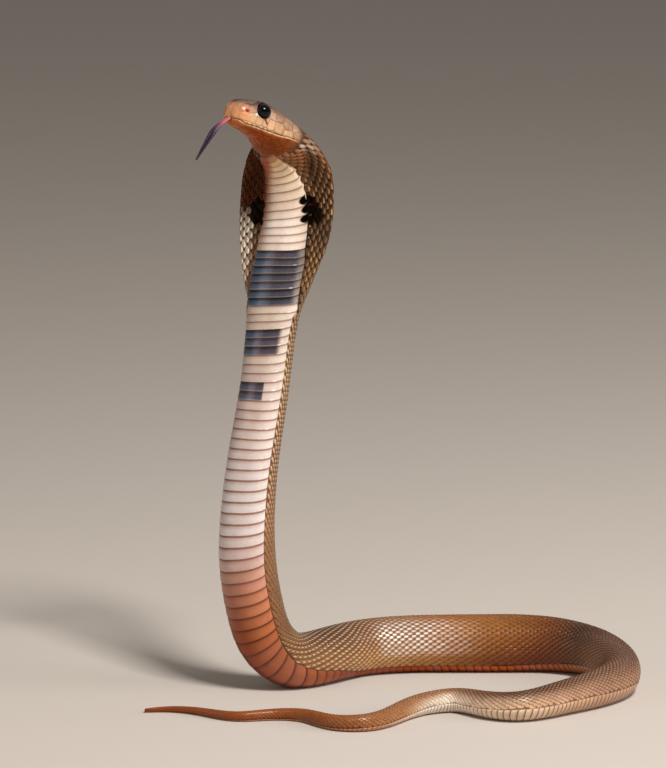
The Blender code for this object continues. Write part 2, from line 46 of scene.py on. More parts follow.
# The animal's own sizes in millimetres, most by distance from the snout tip, as the solids have them.
cobra = {
    "route": [
        (-19.1, -30.3, 111.8), (-16.5, -28, 110.6), (-13.8, -25.4, 109.1), (-11.5, -23, 107.2),
        (-9.6, -20.9, 104.9), (-8.4, -19.3, 102.2), (-7.75, -18.2, 98.7), (-7.75, -17.8, 94.4),
        (-8.4, -18.1, 87.6), (-9.5, -18.7, 82), (-10.6, -19.5, 76.4), (-11.6, -20.3, 70.2),
        (-13, -21.7, 58.3), (-14.9, -23, 46.5), (-16.1, -24, 36), (-16.3, -24.5, 26), (-14.8, -24.1, 15.6),
        (-12.3, -23.2, 8.9), (-8.4, -22, 5.5), (-2.9, -18.2, 4.85), (4, -11.4, 4.85), (13, -8, 4.95),
        (22.9, -7.4, 5), (33, -7.4, 5.05), (42.6, -8.2, 5.1), (50.3, -12.6, 4.8), (54.4, -19.8, 4.15),
        (54.6, -28, 3.65), (50, -36.4, 3.35), (42.4, -43.4, 3.1), (34.2, -48.2, 2.8), (28.6, -45.6, 2.5),
        (23, -41.2, 2.2), (17.6, -42.8, 2), (12, -49.4, 1.8), (6.2, -55.6, 1.6), (0.6, -55, 1.4),
        (-5.4, -48.9, 1.2), (-11.4, -47.6, 1.05), (-17.6, -48.6, 0.95), (-24.4, -44.6, 0.8),
        (-31, -41.8, 0.6), (-36.5, -42.4, 0.42),
    ],
    "shift": (-11.37, 28.88, 0),
    "length": 320,
    "back": [
        (0, (0.24, 0.2, 0.95)), (8, (0.24, 0.2, 0.95)), (13.5, (0.42, 0.5, 0.78)), (18, (0.5, 0.74, 0.5)),
        (24, (0.5, 0.866, 0)), (50, (0.49, 0.87, 0)), (75, (0.45, 0.89, 0)), (100, (0.46, 0.88, 0.08)),
        (110, (0.36, 0.85, 0.4)), (118, (0.1, 0.62, 0.78)), (126, (-0.1, 0.3, 0.95)), (134, (0, 0, 1)),
        (180, (0, 0, 1)), (205, (-0.05, 0.44, 0.89)), (245, (0, 0.44, 0.89)), (275, (0, 0, 1)),
        (400, (0, 0, 1)),
    ],
    "halfWidth": [
        (0, 0), (0.08, 1.05), (0.25, 1.8), (0.55, 2.4), (1, 2.85), (1.8, 3.2), (3, 3.55), (4.5, 3.95),
        (5.6, 4.1), (7, 4.2), (9, 4.5), (11, 4.95), (13, 5.45), (14.5, 6), (16, 7), (18, 8.4), (20, 9.2),
        (22.5, 9.7), (25.5, 10), (29, 10.1), (32.5, 9.9), (36, 9.35), (39, 8.6), (42, 7.75), (45, 6.8),
        (48, 5.75), (51, 5.1), (56, 4.75), (64, 4.65), (76, 4.8), (88, 5.1), (100, 5.45), (112, 5.5),
        (126, 5.45), (146, 5.55), (168, 5.6), (176, 5.3), (186, 4.6), (196, 4.05), (208, 3.6), (220, 3.2),
        (230, 2.85), (240, 2.45), (252, 2.1), (266, 1.7), (280, 1.38), (294, 1.05), (308, 0.75), (316, 0.5),
        (320, 0.3),
    ],
    "throatHalfWidth": [(14.5, 6), (18, 5.5), (22, 5.25), (34, 5.3), (42, 5.3), (48, 5.2), (60, 7)],
    "backHeight": [
        (0, 0), (0.08, 0.95), (0.25, 1.66), (0.55, 2.24), (1, 2.6), (1.6, 2.86), (2.3, 3.06), (3.5, 3.33),
        (4.7, 3.58), (6, 3.66), (7.5, 3.58), (9, 3.45), (11, 3.3), (13, 3.2), (16, 3.1), (20, 2.9), (26, 2.6),
        (34, 2.6), (42, 3.1), (50, 4), (58, 4.4), (76, 4.7), (100, 5.3), (112, 5.35), (126, 5.3), (146, 5.6),
        (168, 5.75), (176, 5.45), (186, 4.75), (196, 4.2), (208, 3.75), (220, 3.3), (230, 2.9), (240, 2.5),
        (252, 2.15), (266, 1.75), (280, 1.4), (294, 1.05), (308, 0.75), (316, 0.5), (320, 0.3),
    ],
    "bellyDepth": [
        (0, 0), (0.08, 0.8), (0.25, 1.45), (0.55, 1.95), (1, 2.3), (2.6, 2.6), (5.8, 3), (9, 3.55),
        (10.5, 3.95), (12.5, 4.45), (14.5, 4.85), (17, 5.05), (21, 5), (34, 4.9), (42, 4.7), (50, 4.4),
        (58, 4.4), (76, 4.7), (100, 5.3), (112, 5.4), (126, 5.35), (146, 5.5), (168, 5.6), (176, 5.35),
        (186, 4.75), (196, 4.2), (208, 3.8), (220, 3.3), (230, 2.9), (240, 2.5), (252, 2.15), (266, 1.8),
        (280, 1.5), (294, 1.15), (308, 0.85), (316, 0.55), (320, 0.32),
    ],
    "wingCurl": [(0, 0), (14, 0), (20, 1.2), (26, 2), (36, 2), (44, 1.3), (51, 0)],
    "wingThickness": [(0, 0.4), (14, 1.4), (20, 1.7), (28, 1.5), (36, 1.5), (44, 1.8), (50, 0.4)],
    "backSquareness": [(0, 2.3), (3, 2.8), (6, 3.1), (9, 2.9), (14, 2.4), (18, 2)],
    "throatSpread": [(0, 0.45), (14, 0.5), (20, 0.72), (30, 0.8), (40, 0.7), (50, 0.5)],
    "mouthHeight": [
        (0, -0.9), (0.8, -1.1), (2, -1.4), (6, -1.4), (9.5, -1.15), (12, -0.65), (13.6, -0.5), (15.2, -1.3),
        (17.3, -2.4),
    ],
    "scuteHalfWidth": [
        (12, 1.5), (14, 2.3), (17, 3.2), (19, 3.7), (22, 4.1), (28, 4.7), (34, 4.95), (44, 5), (52, 4.65),
        (62, 4.4), (76, 4.5), (100, 4.9), (116, 4.85), (130, 4.4), (168, 4.4), (186, 4), (208, 3.25),
        (225, 2.75), (240, 2.15), (280, 1.15), (320, 0.22),
    ],
    "scuteShift": [
        (12, 0), (18, -0.25), (22, -0.3), (28, 0), (36, 0.15), (40, 0.45), (48, 0.5), (58, 0.15), (70, 0),
        (320, 0),
    ],
    "rowStep": 0.25,        # between the rows of points that surfaces are read from
}


def readTable(rows, at):        # smooth between a table's (distance, size) rows, and never past them
    xs, ys = np.array(rows, float).T
    slopes = np.diff(ys) / np.diff(xs)
    tangents = np.zeros(len(xs))
    sameWay = slopes[1:] * slopes[:-1] > 0
    tangents[1:-1] = np.where(sameWay, 2 * slopes[1:] * slopes[:-1] / (slopes[1:] + slopes[:-1] + 1e-12), 0)
    tangents[0], tangents[-1] = slopes[0], slopes[-1]
    at = np.clip(np.asarray(at, float), xs[0], xs[-1])
    k = np.clip(np.searchsorted(xs, at, side="right") - 1, 0, len(xs) - 2)
    width = xs[k + 1] - xs[k]
    u = (at - xs[k]) / width
    return (
        ys[k] * (1 + 2 * u) * (1 - u) ** 2 + ys[k + 1] * u * u * (3 - 2 * u)
        + width * u * (1 - u) * (tangents[k] * (1 - u) - tangents[k + 1] * u)
    )


def sizeAt(name, s):
    return readTable(cobra[name], s)


def layCurve(points):        # one smooth curve through the points, read at even distances
    points = np.array(points, float)
    knots = np.concatenate([[0], np.cumsum(np.linalg.norm(np.diff(points, axis=0), axis=1))])
    h = np.diff(knots)
    n = len(points)
    a, b = np.eye(n), np.zeros((n, 3))
    for i in range(1, n - 1):
        a[i, i - 1:i + 2] = h[i - 1], 2 * (h[i - 1] + h[i]), h[i]
        b[i] = 6 * ((points[i + 1] - points[i]) / h[i] - (points[i] - points[i - 1]) / h[i - 1])
    bend = np.linalg.solve(a, b)
    t = np.linspace(0, knots[-1], 6000)
    k = np.clip(np.searchsorted(knots, t, side="right") - 1, 0, n - 2)
    u, v, w = (t - knots[k])[:, None], (knots[k + 1] - t)[:, None], h[k][:, None]
    curve = (
        bend[k] * v**3 / (6 * w) + bend[k + 1] * u**3 / (6 * w)
        + (points[k] / w - bend[k] * w / 6) * v + (points[k + 1] / w - bend[k + 1] * w / 6) * u
    )
    along = np.concatenate([[0], np.cumsum(np.linalg.norm(np.diff(curve, axis=0), axis=1))])
    even = np.arange(0, along[-1], cobra["rowStep"])
    return even, np.stack([np.interp(even, along, curve[:, i]) for i in range(3)], 1)


curveAlong, curvePoints = layCurve(cobra["route"])
curveHeading = np.gradient(curvePoints, curveAlong, axis=0)
stretch = curveAlong[-1] / cobra["length"]


def unit(vectors):
    return vectors / np.maximum(np.linalg.norm(vectors, axis=-1, keepdims=True), 1e-9)


def bell(away, width):
    return np.exp(-(away / width) ** 2)


def fadeIn(value, none, full):        # 0 at none and 1 at full, straight between
    return np.clip((value - none) / (full - none), 0, 1)


def frameAt(s):        # middle, tailward, back and left at each distance from the snout
    at = np.asarray(s, float) * stretch
    middle = np.stack([np.interp(at, curveAlong, curvePoints[:, i]) for i in range(3)], -1)
    tailward = unit(np.stack([np.interp(at, curveAlong, curveHeading[:, i]) for i in range(3)], -1))
    back = np.stack([readTable([(d, v[i]) for d, v in cobra["back"]], at) for i in range(3)], -1)
    back = unit(back - tailward * (back * tailward).sum(-1, keepdims=True))
    return middle, tailward, back, np.cross(tailward, back)


def frameOf(s):        # the same at one distance
    return [v[0] for v in frameAt([s])]


def crossSection(s, turn):        # offsets to the left and back; turn is 0 at the belly, pi at the back
    width = sizeAt("halfWidth", s)
    throat = np.minimum(width, sizeAt("throatHalfWidth", s))
    edge = np.minimum(sizeAt("wingThickness", s) / 2, 0.45 * width)
    x = width * np.sin(turn)
    share = np.abs(x) / np.maximum(width, 1e-6)
    rim = np.sqrt(np.clip(1 - share**6, 0, 1))
    bend = -sizeAt("wingCurl", s) * share**2
    square = sizeAt("backSquareness", s)
    overBack = np.clip(1 - share**square, 0, 1) ** (1 / square)
    inside = np.clip(1 - (np.abs(x) / np.maximum(throat, 1e-6)) ** 2, 0, 1) ** sizeAt("throatSpread", s)
    above = edge * rim + (sizeAt("backHeight", s) - edge) * overBack
    below = edge * rim + (sizeAt("bellyDepth", s) - edge) * inside
    return x, bend + np.where(np.cos(turn) > 0, -below, above)


def surfacePoints(s, turn):
    s = np.asarray(s, float)[:, None]
    x, y = crossSection(s, turn)
    middle, _, back, left = frameAt(s[:, 0])
    return middle[:, None] + x[..., None] * left[:, None] + y[..., None] * back[:, None]


def scuteTurn(s, side=0):        # the turn where the scutes end: on the left for side 1, on the right for -1
    reach = sizeAt("scuteHalfWidth", s) + side * sizeAt("scuteShift", s)
    return np.arcsin(np.minimum(reach / sizeAt("halfWidth", s), 0.965))


def evenRows(points, turn, count):        # each row again in even steps: points, turns and lengths
    steps = np.linalg.norm(np.diff(points, axis=1), axis=-1)
    reach = np.concatenate([np.zeros((len(points), 1)), np.cumsum(steps, axis=1)], axis=1)
    rows = np.concatenate([points, turn[..., None]], axis=2)
    out = np.empty((len(points), count, 4))
    for row, far, new in zip(rows, reach, out):
        want = np.linspace(0, far[-1], count)
        for c in range(4):
            new[:, c] = np.interp(want, far, row[:, c])
    return out[..., :3], out[..., 3], reach[:, -1]


def outwardNormals(points, s, acrossWay):
    normals = unit(np.cross(np.gradient(points, axis=0), acrossWay))
    middle = frameAt(s)[0][:, None]
    return -normals if ((points - middle) * normals).sum(-1).mean() < 0 else normals


class Sheet:        # a stretch of the surface, read by distance from the snout and share across
    def __init__(self, firstTurn, lastTurn, count):
        self.s = np.arange(11, cobra["length"] - 0.3, cobra["rowStep"])
        share = np.linspace(0, 1, 361)[None]
        turn = firstTurn(self.s)[:, None] * (1 - share) + lastTurn(self.s)[:, None] * share
        self.points, _, self.across = evenRows(surfacePoints(self.s, turn), turn, count)
        self.normals = outwardNormals(self.points, self.s, np.gradient(self.points, axis=1))

    def read(self, s, w, lift):        # points raised off the surface by lift
        i = np.clip((s - self.s[0]) / cobra["rowStep"], 0, len(self.s) - 1.001)
        j = np.clip(w, 0, 1) * (self.points.shape[1] - 1.001)
        i0, j0 = i.astype(int), j.astype(int)
        fi, fj = (i - i0)[..., None], (j - j0)[..., None]

        def blend(grid):
            return (
                grid[i0, j0] * (1 - fi) * (1 - fj) + grid[i0 + 1, j0] * fi * (1 - fj)
                + grid[i0, j0 + 1] * (1 - fi) * fj + grid[i0 + 1, j0 + 1] * fi * fj
            )

        return blend(self.points) + unit(blend(self.normals)) * lift[..., None]

    def width(self, s):
        return np.interp(s, self.s, self.across)


backSheet = Sheet(lambda s: scuteTurn(s, 1), lambda s: 2 * np.pi - scuteTurn(s, -1), 241)
bellySheet = Sheet(lambda s: -scuteTurn(s, -1), lambda s: scuteTurn(s, 1), 81)
print("surface read")


def headShare(s, turn):        # 1 where the head's own shields lie, 0 where the coat begins
    end = np.interp(np.degrees(turn), *np.transpose(head["shieldsEnd"]))
    return np.clip((end - s) / 1.6, 0, 1)


def toMetres(points):
    points = np.array(points, float)
    points[..., 2] = np.maximum(points[..., 2], 0)
    return (points + np.array(cobra["shift"])) * 0.001


def pickNothing():
    bpy.ops.object.select_all(action="DESELECT")


def readPoints(piece):
    co = np.empty(len(piece.data.vertices) * 3)
    piece.data.vertices.foreach_get("co", co)
    return co.reshape(-1, 3)


def addGrid(name, alongCount, aroundCount):        # a flat grid to be shaped, and each vertex's place in it
    pickNothing()
    bpy.ops.mesh.primitive_grid_add(x_subdivisions=alongCount - 1, y_subdivisions=aroundCount - 1, size=1)
    piece = bpy.context.object
    piece.name = name
    co = readPoints(piece) + 0.5
    i = np.rint(co[:, 0] * (alongCount - 1)).astype(int)
    j = np.rint(co[:, 1] * (aroundCount - 1)).astype(int)
    return piece, i, j


def takeFaces(piece):        # the faces of a shape that is only a pattern for copies
    faces = np.array([list(face.vertices) for face in piece.data.polygons])
    bpy.data.objects.remove(piece)
    return faces


def setPoints(piece, points):
    piece.data.vertices.foreach_set("co", np.ascontiguousarray(points, np.float64).reshape(-1))
    piece.data.update()


def addAttribute(mesh, name, values):
    attribute = mesh.attributes.new(name, "FLOAT", "POINT")
    attribute.data.foreach_set("value", np.ascontiguousarray(values, np.float32).reshape(-1))


def closeUp(piece):        # edges that meet are merged, open ends capped, every face turned outwards
    pickNothing()
    piece.select_set(True)
    bpy.context.view_layer.objects.active = piece
    bpy.ops.object.mode_set(mode="EDIT")
    bpy.ops.mesh.select_all(action="SELECT")
    bpy.ops.mesh.remove_doubles(threshold=1e-7)
    bpy.ops.mesh.fill_holes(sides=0)
    bpy.ops.mesh.normals_make_consistent(inside=False)
    bpy.ops.object.mode_set(mode="OBJECT")
    bpy.ops.object.shade_smooth()


# The head's shields, as (distance from the snout, turn in degrees from the belly, size), one side of it.
head = {
    "shields": [
        (0, 100, 1.25), (1.1, 158, 0.9), (1.3, 118, 0.8), (2.1, 112, 0.75), (2.9, 154, 1), (3.4, 124, 0.8),
        (5.2, 138, 1.15), (6.9, 124, 0.55), (7, 108, 0.55), (8.7, 142, 1.6), (8.5, 112, 0.8),
        (10.6, 122, 0.8), (10.4, 104, 0.8), (12, 140, 0.9), (12.6, 112, 0.8), (13.4, 94, 0.8),
        (13.6, 128, 0.8), (14.2, 150, 0.8), (1.4, 84, 0.7), (2.7, 86, 0.75), (4.1, 82, 0.8), (5.5, 86, 0.7),
        (6.9, 83, 0.85), (8.9, 88, 1), (11.1, 83, 0.9), (0.9, 20, 0.7), (1.6, 56, 0.55), (2.6, 58, 0.6),
        (3.7, 59, 0.6), (4.9, 60, 0.65), (6.2, 61, 0.65), (7.6, 62, 0.7), (9.2, 63, 0.75), (10.9, 64, 0.8),
        (12.6, 64, 0.8), (3.6, 24, 1.1), (6.2, 22, 1.2), (8.4, 34, 0.8), (8.8, 10, 0.7), (10.2, 24, 0.7),
        (10.4, 48, 0.7), (12, 12, 0.7), (12, 36, 0.7), (13.6, 24, 0.7), (13.6, 50, 0.7), (15.2, 100, 0.8),
        (15.2, 120, 0.8), (15.4, 138, 0.8), (15.3, 76, 0.7), (15.2, 60, 0.7),
    ],
    "middleShields": [(5.9, 180, 1.25), (15, 180, 0.8), (0.4, 12, 0.8)],
    "shieldsEnd": [(0, 13.6), (40, 14), (85, 15.4), (130, 14.4), (180, 13.6)],     # by turn in degrees
    "seamWidth": 0.11, "seamDepth": 0.09,
    "puffReach": 0.55, "puff": 0.05,                    # how the shields swell inside their edges
    "lipWidth": 0.085, "lipDepth": 0.24,                # the mouth line
    "mouthEnd": (14.6, 13.6),
    "lipAway": 0.42, "lipSoftness": 0.34, "lips": (0.07, 0.05),
    "underJaw": 0.12,
    "eyeAt": 4.85, "eyeSide": 3.25, "eyeHeight": 1.75,
    "eyeFacing": (0.88, -0.36, 0.24),                   # how far it looks sideways, tailward and up
    "eyeAxes": (1.49, 1.3, 1.28), "eyeOut": 0.24,
    "socket": (1.46, 1.36), "socketDepth": 0.6, "eyeLine": 0.12,
    "eyeRims": [(1.62, 0.15, 0.1, 0.1), (1.9, 0.3, 0, 0.12)],     # radius, width, height, more at the brow
    "eyeStreak": 0.42,                                  # the dark streak below and behind the eye
    "gleams": [(-1.45, 0.4, -1, 0.3464, 0.8), (3.6, 0.4472, -1.3, 0.4, 0.6)],     # painted highlights by the eye: tailward place and width, upward place and width, strength
    "nostrilAt": 1.45, "nostrilSide": 3.05, "nostrilHeight": 1,
    "nostrilSize": (0.42, 0.32, 0.9), "nostrilDepth": 0.34,
    "notch": (0.55, 0.5), "notchDepth": 0.3,            # where the tongue comes out
}


def nearShields(points):        # the shield that each point is on, and how far the shield's edge is
    middles, sizes = [], []
    places = [(at, side * degrees, size) for at, degrees, size in head["shields"] for side in (1, -1)]
    for at, degrees, size in places + head["middleShields"]:
        middles.append(surfacePoints([at + 0.02], np.array([[math.radians(degrees)]]))[0, 0])
        sizes.append(size)
    middles = np.array(middles)
    flat = points.reshape(-1, 3)
    reach = np.linalg.norm(flat[:, None] - middles[None], axis=-1) ** 2 - np.array(sizes)[None] ** 2
    first, second = np.argsort(reach, axis=1)[:, :2].T
    rows = np.arange(len(flat))
    gap = np.linalg.norm(middles[first] - middles[second], axis=-1)
    edge = (reach[rows, second] - reach[rows, first]) / (2 * np.maximum(gap, 1e-6))
    return first.reshape(points.shape[:-1]), edge.reshape(points.shape[:-1])


def eyeAxis(side):
    sideways, tail, up = head["eyeFacing"]
    _, tailward, back, left = frameOf(head["eyeAt"])
    return unit(side * left * sideways + tailward * tail + back * up)


skin = {
    "firstRings": [0.03, 0.08, 0.15, 0.25, 0.36, 0.48, 0.6],
    "headStart": 0.72, "headStep": 0.1, "headEnd": 18,
    "bodyStep": 1.6,
    "around": 232,
    "coatDepth": 0.14,        # how far the skin lies inside the scales
}


def buildSkin():        # one closed skin from snout to tail, with the head's shields in relief
    s = np.concatenate([
        skin["firstRings"], np.arange(skin["headStart"], skin["headEnd"], skin["headStep"]),
        np.arange(skin["headEnd"], cobra["length"] - 0.3, skin["bodyStep"]),
    ])
    count = skin["around"] + 1
    full = np.linspace(0, 2 * np.pi, 1441)[None] * np.ones((len(s), 1))
    dense = surfacePoints(s, np.where(full > np.pi, full - 2 * np.pi, full))
    points, turns, perimeter = evenRows(dense, full, count)
    perimeter = perimeter[:, None]
    acrossWay = np.gradient(points, axis=1)
    acrossWay[:, 0] = acrossWay[:, -1] = points[:, 1] - points[:, -2]
    normals = outwardNormals(points, s, acrossWay)
    middle, _, back, left = (v[:, None] for v in frameAt(s))
    sideways = ((points - middle) * left).sum(-1)
    height = ((points - middle) * back).sum(-1)
    at = s[:, None] * np.ones_like(turns)
    onHead = headShare(at, np.where(turns > np.pi, 2 * np.pi - turns, turns))

    # Shields and lips.
    shield, edge = nearShields(points[s < 20])
    pad = ((0, len(s) - len(shield)), (0, 0))
    shield, edge = np.pad(shield, pad), np.pad(edge, pad, constant_values=9)
    seam = bell(edge, head["seamWidth"]) * onHead
    puff = fadeIn(edge, 0, head["puffReach"]) ** 0.5 * head["puff"] * onHead
    fromLip = height - sizeAt("mouthHeight", s)[:, None]
    mouth = fadeIn(at, *head["mouthEnd"])
    widest = np.abs(sideways).max(1, keepdims=True)
    onSide = np.where(at < 1.2, 1, fadeIn(np.abs(sideways), 0, 0.55 * widest))
    lip = bell(fromLip, head["lipWidth"]) * mouth * onSide
    upper, lower = (bell(fromLip - away, head["lipSoftness"]) for away in (head["lipAway"], -head["lipAway"]))
    lips = (upper * head["lips"][0] + lower * head["lips"][1]) * mouth
    under = fadeIn(fromLip, 0, -0.3) * mouth * head["underJaw"]
    depth = skin["coatDepth"] * (1 - onHead) + seam * head["seamDepth"] - puff
    depth += lip * head["lipDepth"] - lips + under

    # Sockets, brows and nostrils.
    eyeMiddles = []
    eyeShade, gleam, nostril = np.zeros((3, *at.shape))
    for side in (1, -1):
        m, t, b, l = frameOf(head["eyeAt"])
        eyeMiddles.append(m + side * head["eyeSide"] * l + head["eyeHeight"] * b)
        axis = eyeAxis(side)
        way = points - eyeMiddles[-1]
        outward = (way * axis).sum(-1)
        radial = np.linalg.norm(way - outward[..., None] * axis, axis=-1)
        facing = outward > -0.2
        brow = fadeIn(way @ b, 0, 1.2)
        for radius, width, rise, more in head["eyeRims"]:
            depth -= facing * bell(radial - radius, width) * (rise + more * brow)
        depth += facing * fadeIn(radial, *head["socket"]) * head["socketDepth"]
        eyeShade += facing * bell(radial - head["socket"][0], head["eyeLine"])
        below = -(way @ b)
        streak = bell((way @ t) - 0.1 - 1.25 * (below - 1.2), head["eyeStreak"])
        eyeShade += facing * streak * fadeIn(below, 1.1, 1.3) * fadeIn(below, 2.7, 2.1)
        for tail, longWidth, up, highWidth, strength in head["gleams"]:
            gleam += facing * bell((way @ t) - tail, longWidth) * bell((way @ b) - up, highWidth) * strength
        m, t, b, l = frameOf(head["nostrilAt"])
        way = points - (m + side * head["nostrilSide"] * l + head["nostrilHeight"] * b)
        long, high, deep = head["nostrilSize"]
        nostril += bell(way @ t, long) * bell(way @ b, high) * bell(way @ l, deep)
        # a painted highlight in front of each nostril
        gleam += bell(way @ t + 0.62, 0.3) * bell(way @ b - 0.2, 0.2) * bell(way @ l, 1.2)
    wide, high = head["notch"]
    notch = bell(sideways, wide) * bell(height + 0.85, high) * fadeIn(at, 1.3, 0.8)
    depth += nostril * head["nostrilDepth"] + notch * head["notchDepth"]
    points = points - normals * np.minimum(depth, 0.45 * sizeAt("halfWidth", at))[..., None]

    piece, i, j = addGrid("skin", len(s), count)
    setPoints(piece, toMetres(points)[i, j])
    shadeOf = rng.uniform(-1, 1, shield.max() + 1)
    backHeight = sizeAt("backHeight", np.maximum(s, 3))[:, None]
    for name, values in {
        "along": at, "away": np.abs(np.linspace(-1, 1, count))[None] * perimeter / 2,
        "half": np.where(at < 14, perimeter * 0.36, backSheet.width(s)[:, None] / 2),
        "hand": np.where(turns < np.pi, 1, -1), "shade": shadeOf[shield] * onHead,
        "onHead": fadeIn(at, 14.6, 12.1), "seam": seam, "lip": lip, "lipHeight": fromLip,
        "crown": np.clip(height / backHeight, -1, 1), "eyeRim": eyeShade, "nostril": nostril, "gleam": gleam,
    }.items():
        addAttribute(piece.data, name, values[i, j])
    closeUp(piece)
    return piece, eyeMiddles


def joinedPieces(name, points, faces, attributes, uv):        # one mesh of many copies of a small one
    copies, perCopy = points.shape[:2]
    allFaces = (faces[None] + np.arange(copies)[:, None, None] * perCopy).reshape(-1, 4)
    mesh = bpy.data.meshes.new(name)
    mesh.from_pydata(points.reshape(-1, 3), [], allFaces, shade_flat=False)
    for key, values in attributes.items():
        addAttribute(mesh, key, values * np.ones(points.shape[:2]))
    layer = mesh.uv_layers.new(name="OFBake")
    layer.data.foreach_set("uv", uv.reshape(-1, 2)[allFaces.reshape(-1)].astype(np.float32).reshape(-1))
    piece = bpy.data.objects.new(name, mesh)
    bpy.context.scene.collection.objects.link(piece)
    return piece


# Back scales: rows across the back, pitch along it, and each scale's size against its place, by distance.
scales = {
    "rows": [
        (12, 21), (16, 21), (24, 22), (36, 22), (52, 21), (150, 23), (190, 21), (215, 18), (236, 14),
        (250, 11), (280, 8), (320, 6),
    ],
    "pitch": [
        (12, 1.55), (18, 1.9), (25, 2.1), (44, 2), (56, 1.7), (100, 1.9), (130, 1.78), (168, 1.75),
        (200, 1.25), (236, 1.05), (280, 0.85), (320, 0.6),
    ],
    "length": [(12, 1), (24, 0.9), (40, 0.94), (52, 1.06), (320, 1.06)],
    "width": [(12, 0.84), (24, 0.76), (38, 0.8), (52, 0.9), (320, 0.92)],
    "skew": [(12, 0), (44, 0), (54, 0.36), (116, 0.36), (134, 0), (320, 0)],
    "height": [
        (12, 0.11), (18, 0.15), (26, 0.21), (52, 0.17), (130, 0.15), (200, 0.12), (260, 0.08), (320, 0.04),
    ],
    "start": 12.4,
    "end": 318.5,
    "perPiece": 1400,
    "alongShape": [-1, -0.8, -0.42, 0, 0.45, 0.84, 1],
    "acrossShape": [-1, -0.84, -0.42, 0, 0.42, 0.84, 1],
    "outline": (2.3, 0.62),
    "uneven": (0.05, 0.05, 0.1),        # how far length, width and height vary
    "sunk": 0.13,
}


def oneScale():        # a domed plate with a rounded point behind
    piece, i, j = addGrid("scaleShape", len(scales["alongShape"]), len(scales["acrossShape"]))
    faces = takeFaces(piece)
    p, q = np.array(scales["alongShape"])[i], np.array(scales["acrossShape"])[j]
    power, fullness = scales["outline"]
    width = np.maximum(1 - np.abs(p) ** power, 0.03) ** fullness
    rim = np.maximum(np.abs(p), np.abs(q))
    height = np.where(rim > 0.99, -0.55, (0.45 + 0.55 * (p + 1) / 2) * (1 - 0.3 * q**2))
    return p, q * width, height, faces, rim, q


def scalePlaces():        # each scale's distance and share across the back, in rows set half a step apart
    places = []
    s, odd = scales["start"], False
    while s < scales["end"]:
        rows = float(readTable(scales["rows"], s))
        most = int(rows / 2 + 1)
        low = float(scuteTurn(s))
        for k in range(-most, most + 1):
            w = 0.5 + (k + (0.5 if odd else 0)) / rows
            turn = low + w * (2 * math.pi - 2 * low)
            onBack = 0.28 / rows < w < 1 - 0.28 / rows
            if onBack and headShare(s, min(turn, 2 * math.pi - turn)) < 0.35:
                places.append((s, w, rows))
        s += float(readTable(scales["pitch"], s)) / 2
        odd = not odd
    return np.array(places)


def bakePatches(s, w, a, b):        # each scale's patch on an unwrap of the skin in eight lengths
    lengths, patch = 8, 0.003
    place = (s - 15) / (cobra["length"] - 15) * lengths
    band = np.floor(place)
    u = (place - band) * 0.98 + 0.01
    v = (band + 0.05 + 0.9 * w) / lengths
    return np.stack([u[:, None] + a[None] * patch / 2, v[:, None] + b[None] * patch / 2], -1)


def buildScales():
    p, q, height, faces, rim, cross = oneScale()
    places = scalePlaces()
    jitter = rng.uniform(-1, 1, (len(places), 4))
    s, w, rows = places.T
    across = backSheet.width(s)
    low = np.abs(w - 0.5) * 2
    hand = np.where(w < 0.5, 1, -1)
    longer, wider, higher = (1 + vary * jitter[:, k] for k, vary in enumerate(scales["uneven"]))
    length = readTable(scales["pitch"], s) * readTable(scales["length"], s) * longer
    width = across / rows * readTable(scales["width"], s) * wider * (1 + 0.16 * fadeIn(low, 0.72, 0.97))
    top = readTable(scales["height"], s) * higher
    skew = readTable(scales["skew"], s) * fadeIn(low, 0.3, 0.7) * hand
    sHere = s[:, None] + p[None] * length[:, None] / 2
    wHere = w[:, None] + (q[None] * width[:, None] / 2 + p[None] * skew[:, None]) / across[:, None]
    turn = scuteTurn(s) + w * 2 * (np.pi - scuteTurn(s))
    sunk = scales["sunk"] * (1 - headShare(s, np.minimum(turn, 2 * np.pi - turn)))
    tilt = np.where(height > 0, 0.03 * (p + 1) / 2, 0)
    points = toMetres(backSheet.read(sHere, wHere, height[None] * top[:, None] + tilt[None] - sunk[:, None]))
    uv = bakePatches(s, w, p, q)
    away = np.abs(0.5 - w) * across
    whole = {"along": s, "away": away, "half": across / 2, "shade": jitter[:, 3], "hand": hand}
    made = []
    parts = int(np.ceil(len(places) / scales["perPiece"]))
    for number, take in enumerate(np.array_split(np.arange(len(places)), parts)):
        values = {"tip": p[None], "rim": rim[None], "cross": cross[None]}
        for key, each in whole.items():
            values[key] = each[take][:, None]
        made.append(joinedPieces("backScales%d" % (number + 1), points[take], faces, values, uv[take]))
    print("back scales:", len(places), "of", len(faces) * 2, "triangles")
    return made


# Belly scutes: one plate across the belly each, with a raised free edge behind.
scutes = {
    "pitch": [
        (13, 1.5), (16, 1.9), (20, 2.2), (26, 2.05), (32, 1.68), (38, 1.52), (47, 1.52), (53, 1.6),
        (58, 1.72), (72, 1.9), (90, 2.12), (112, 2.2), (126, 1.7), (168, 1.6), (200, 1.05), (236, 0.95),
        (280, 0.75), (320, 0.6),
    ],
    "start": 13.4,
    "end": 318.6,
    "lift": [(13, 0.02), (18, 0.05), (24, 0.07), (110, 0.1), (130, 0.1), (200, 0.08), (320, 0.03)],
    "sunk": [(12, 0.16), (14.2, 0.12), (16.6, 0), (320, 0)],
    "slant": [
        (12, 0.5), (18, 1.5), (26, 1.3), (46, 1.15), (56, 0.75), (75, 0.6), (95, 0.5), (112, 0.3), (126, 0),
        (320, 0),
    ],
    "overlap": 0.16,
    "bow": 0.3,
    "split": 236,
    "alongShape": [-0.02, 0.1, 0.4, 0.75, 0.93, 1, 1.02, 0.99],
    "liftShape": [-0.5, 0.12, 0.45, 0.82, 0.97, 0.86, 0.35, -0.6],
    "across": 25,
    "reach": 1.03,        # how far the plates run on under the lowest scales
}


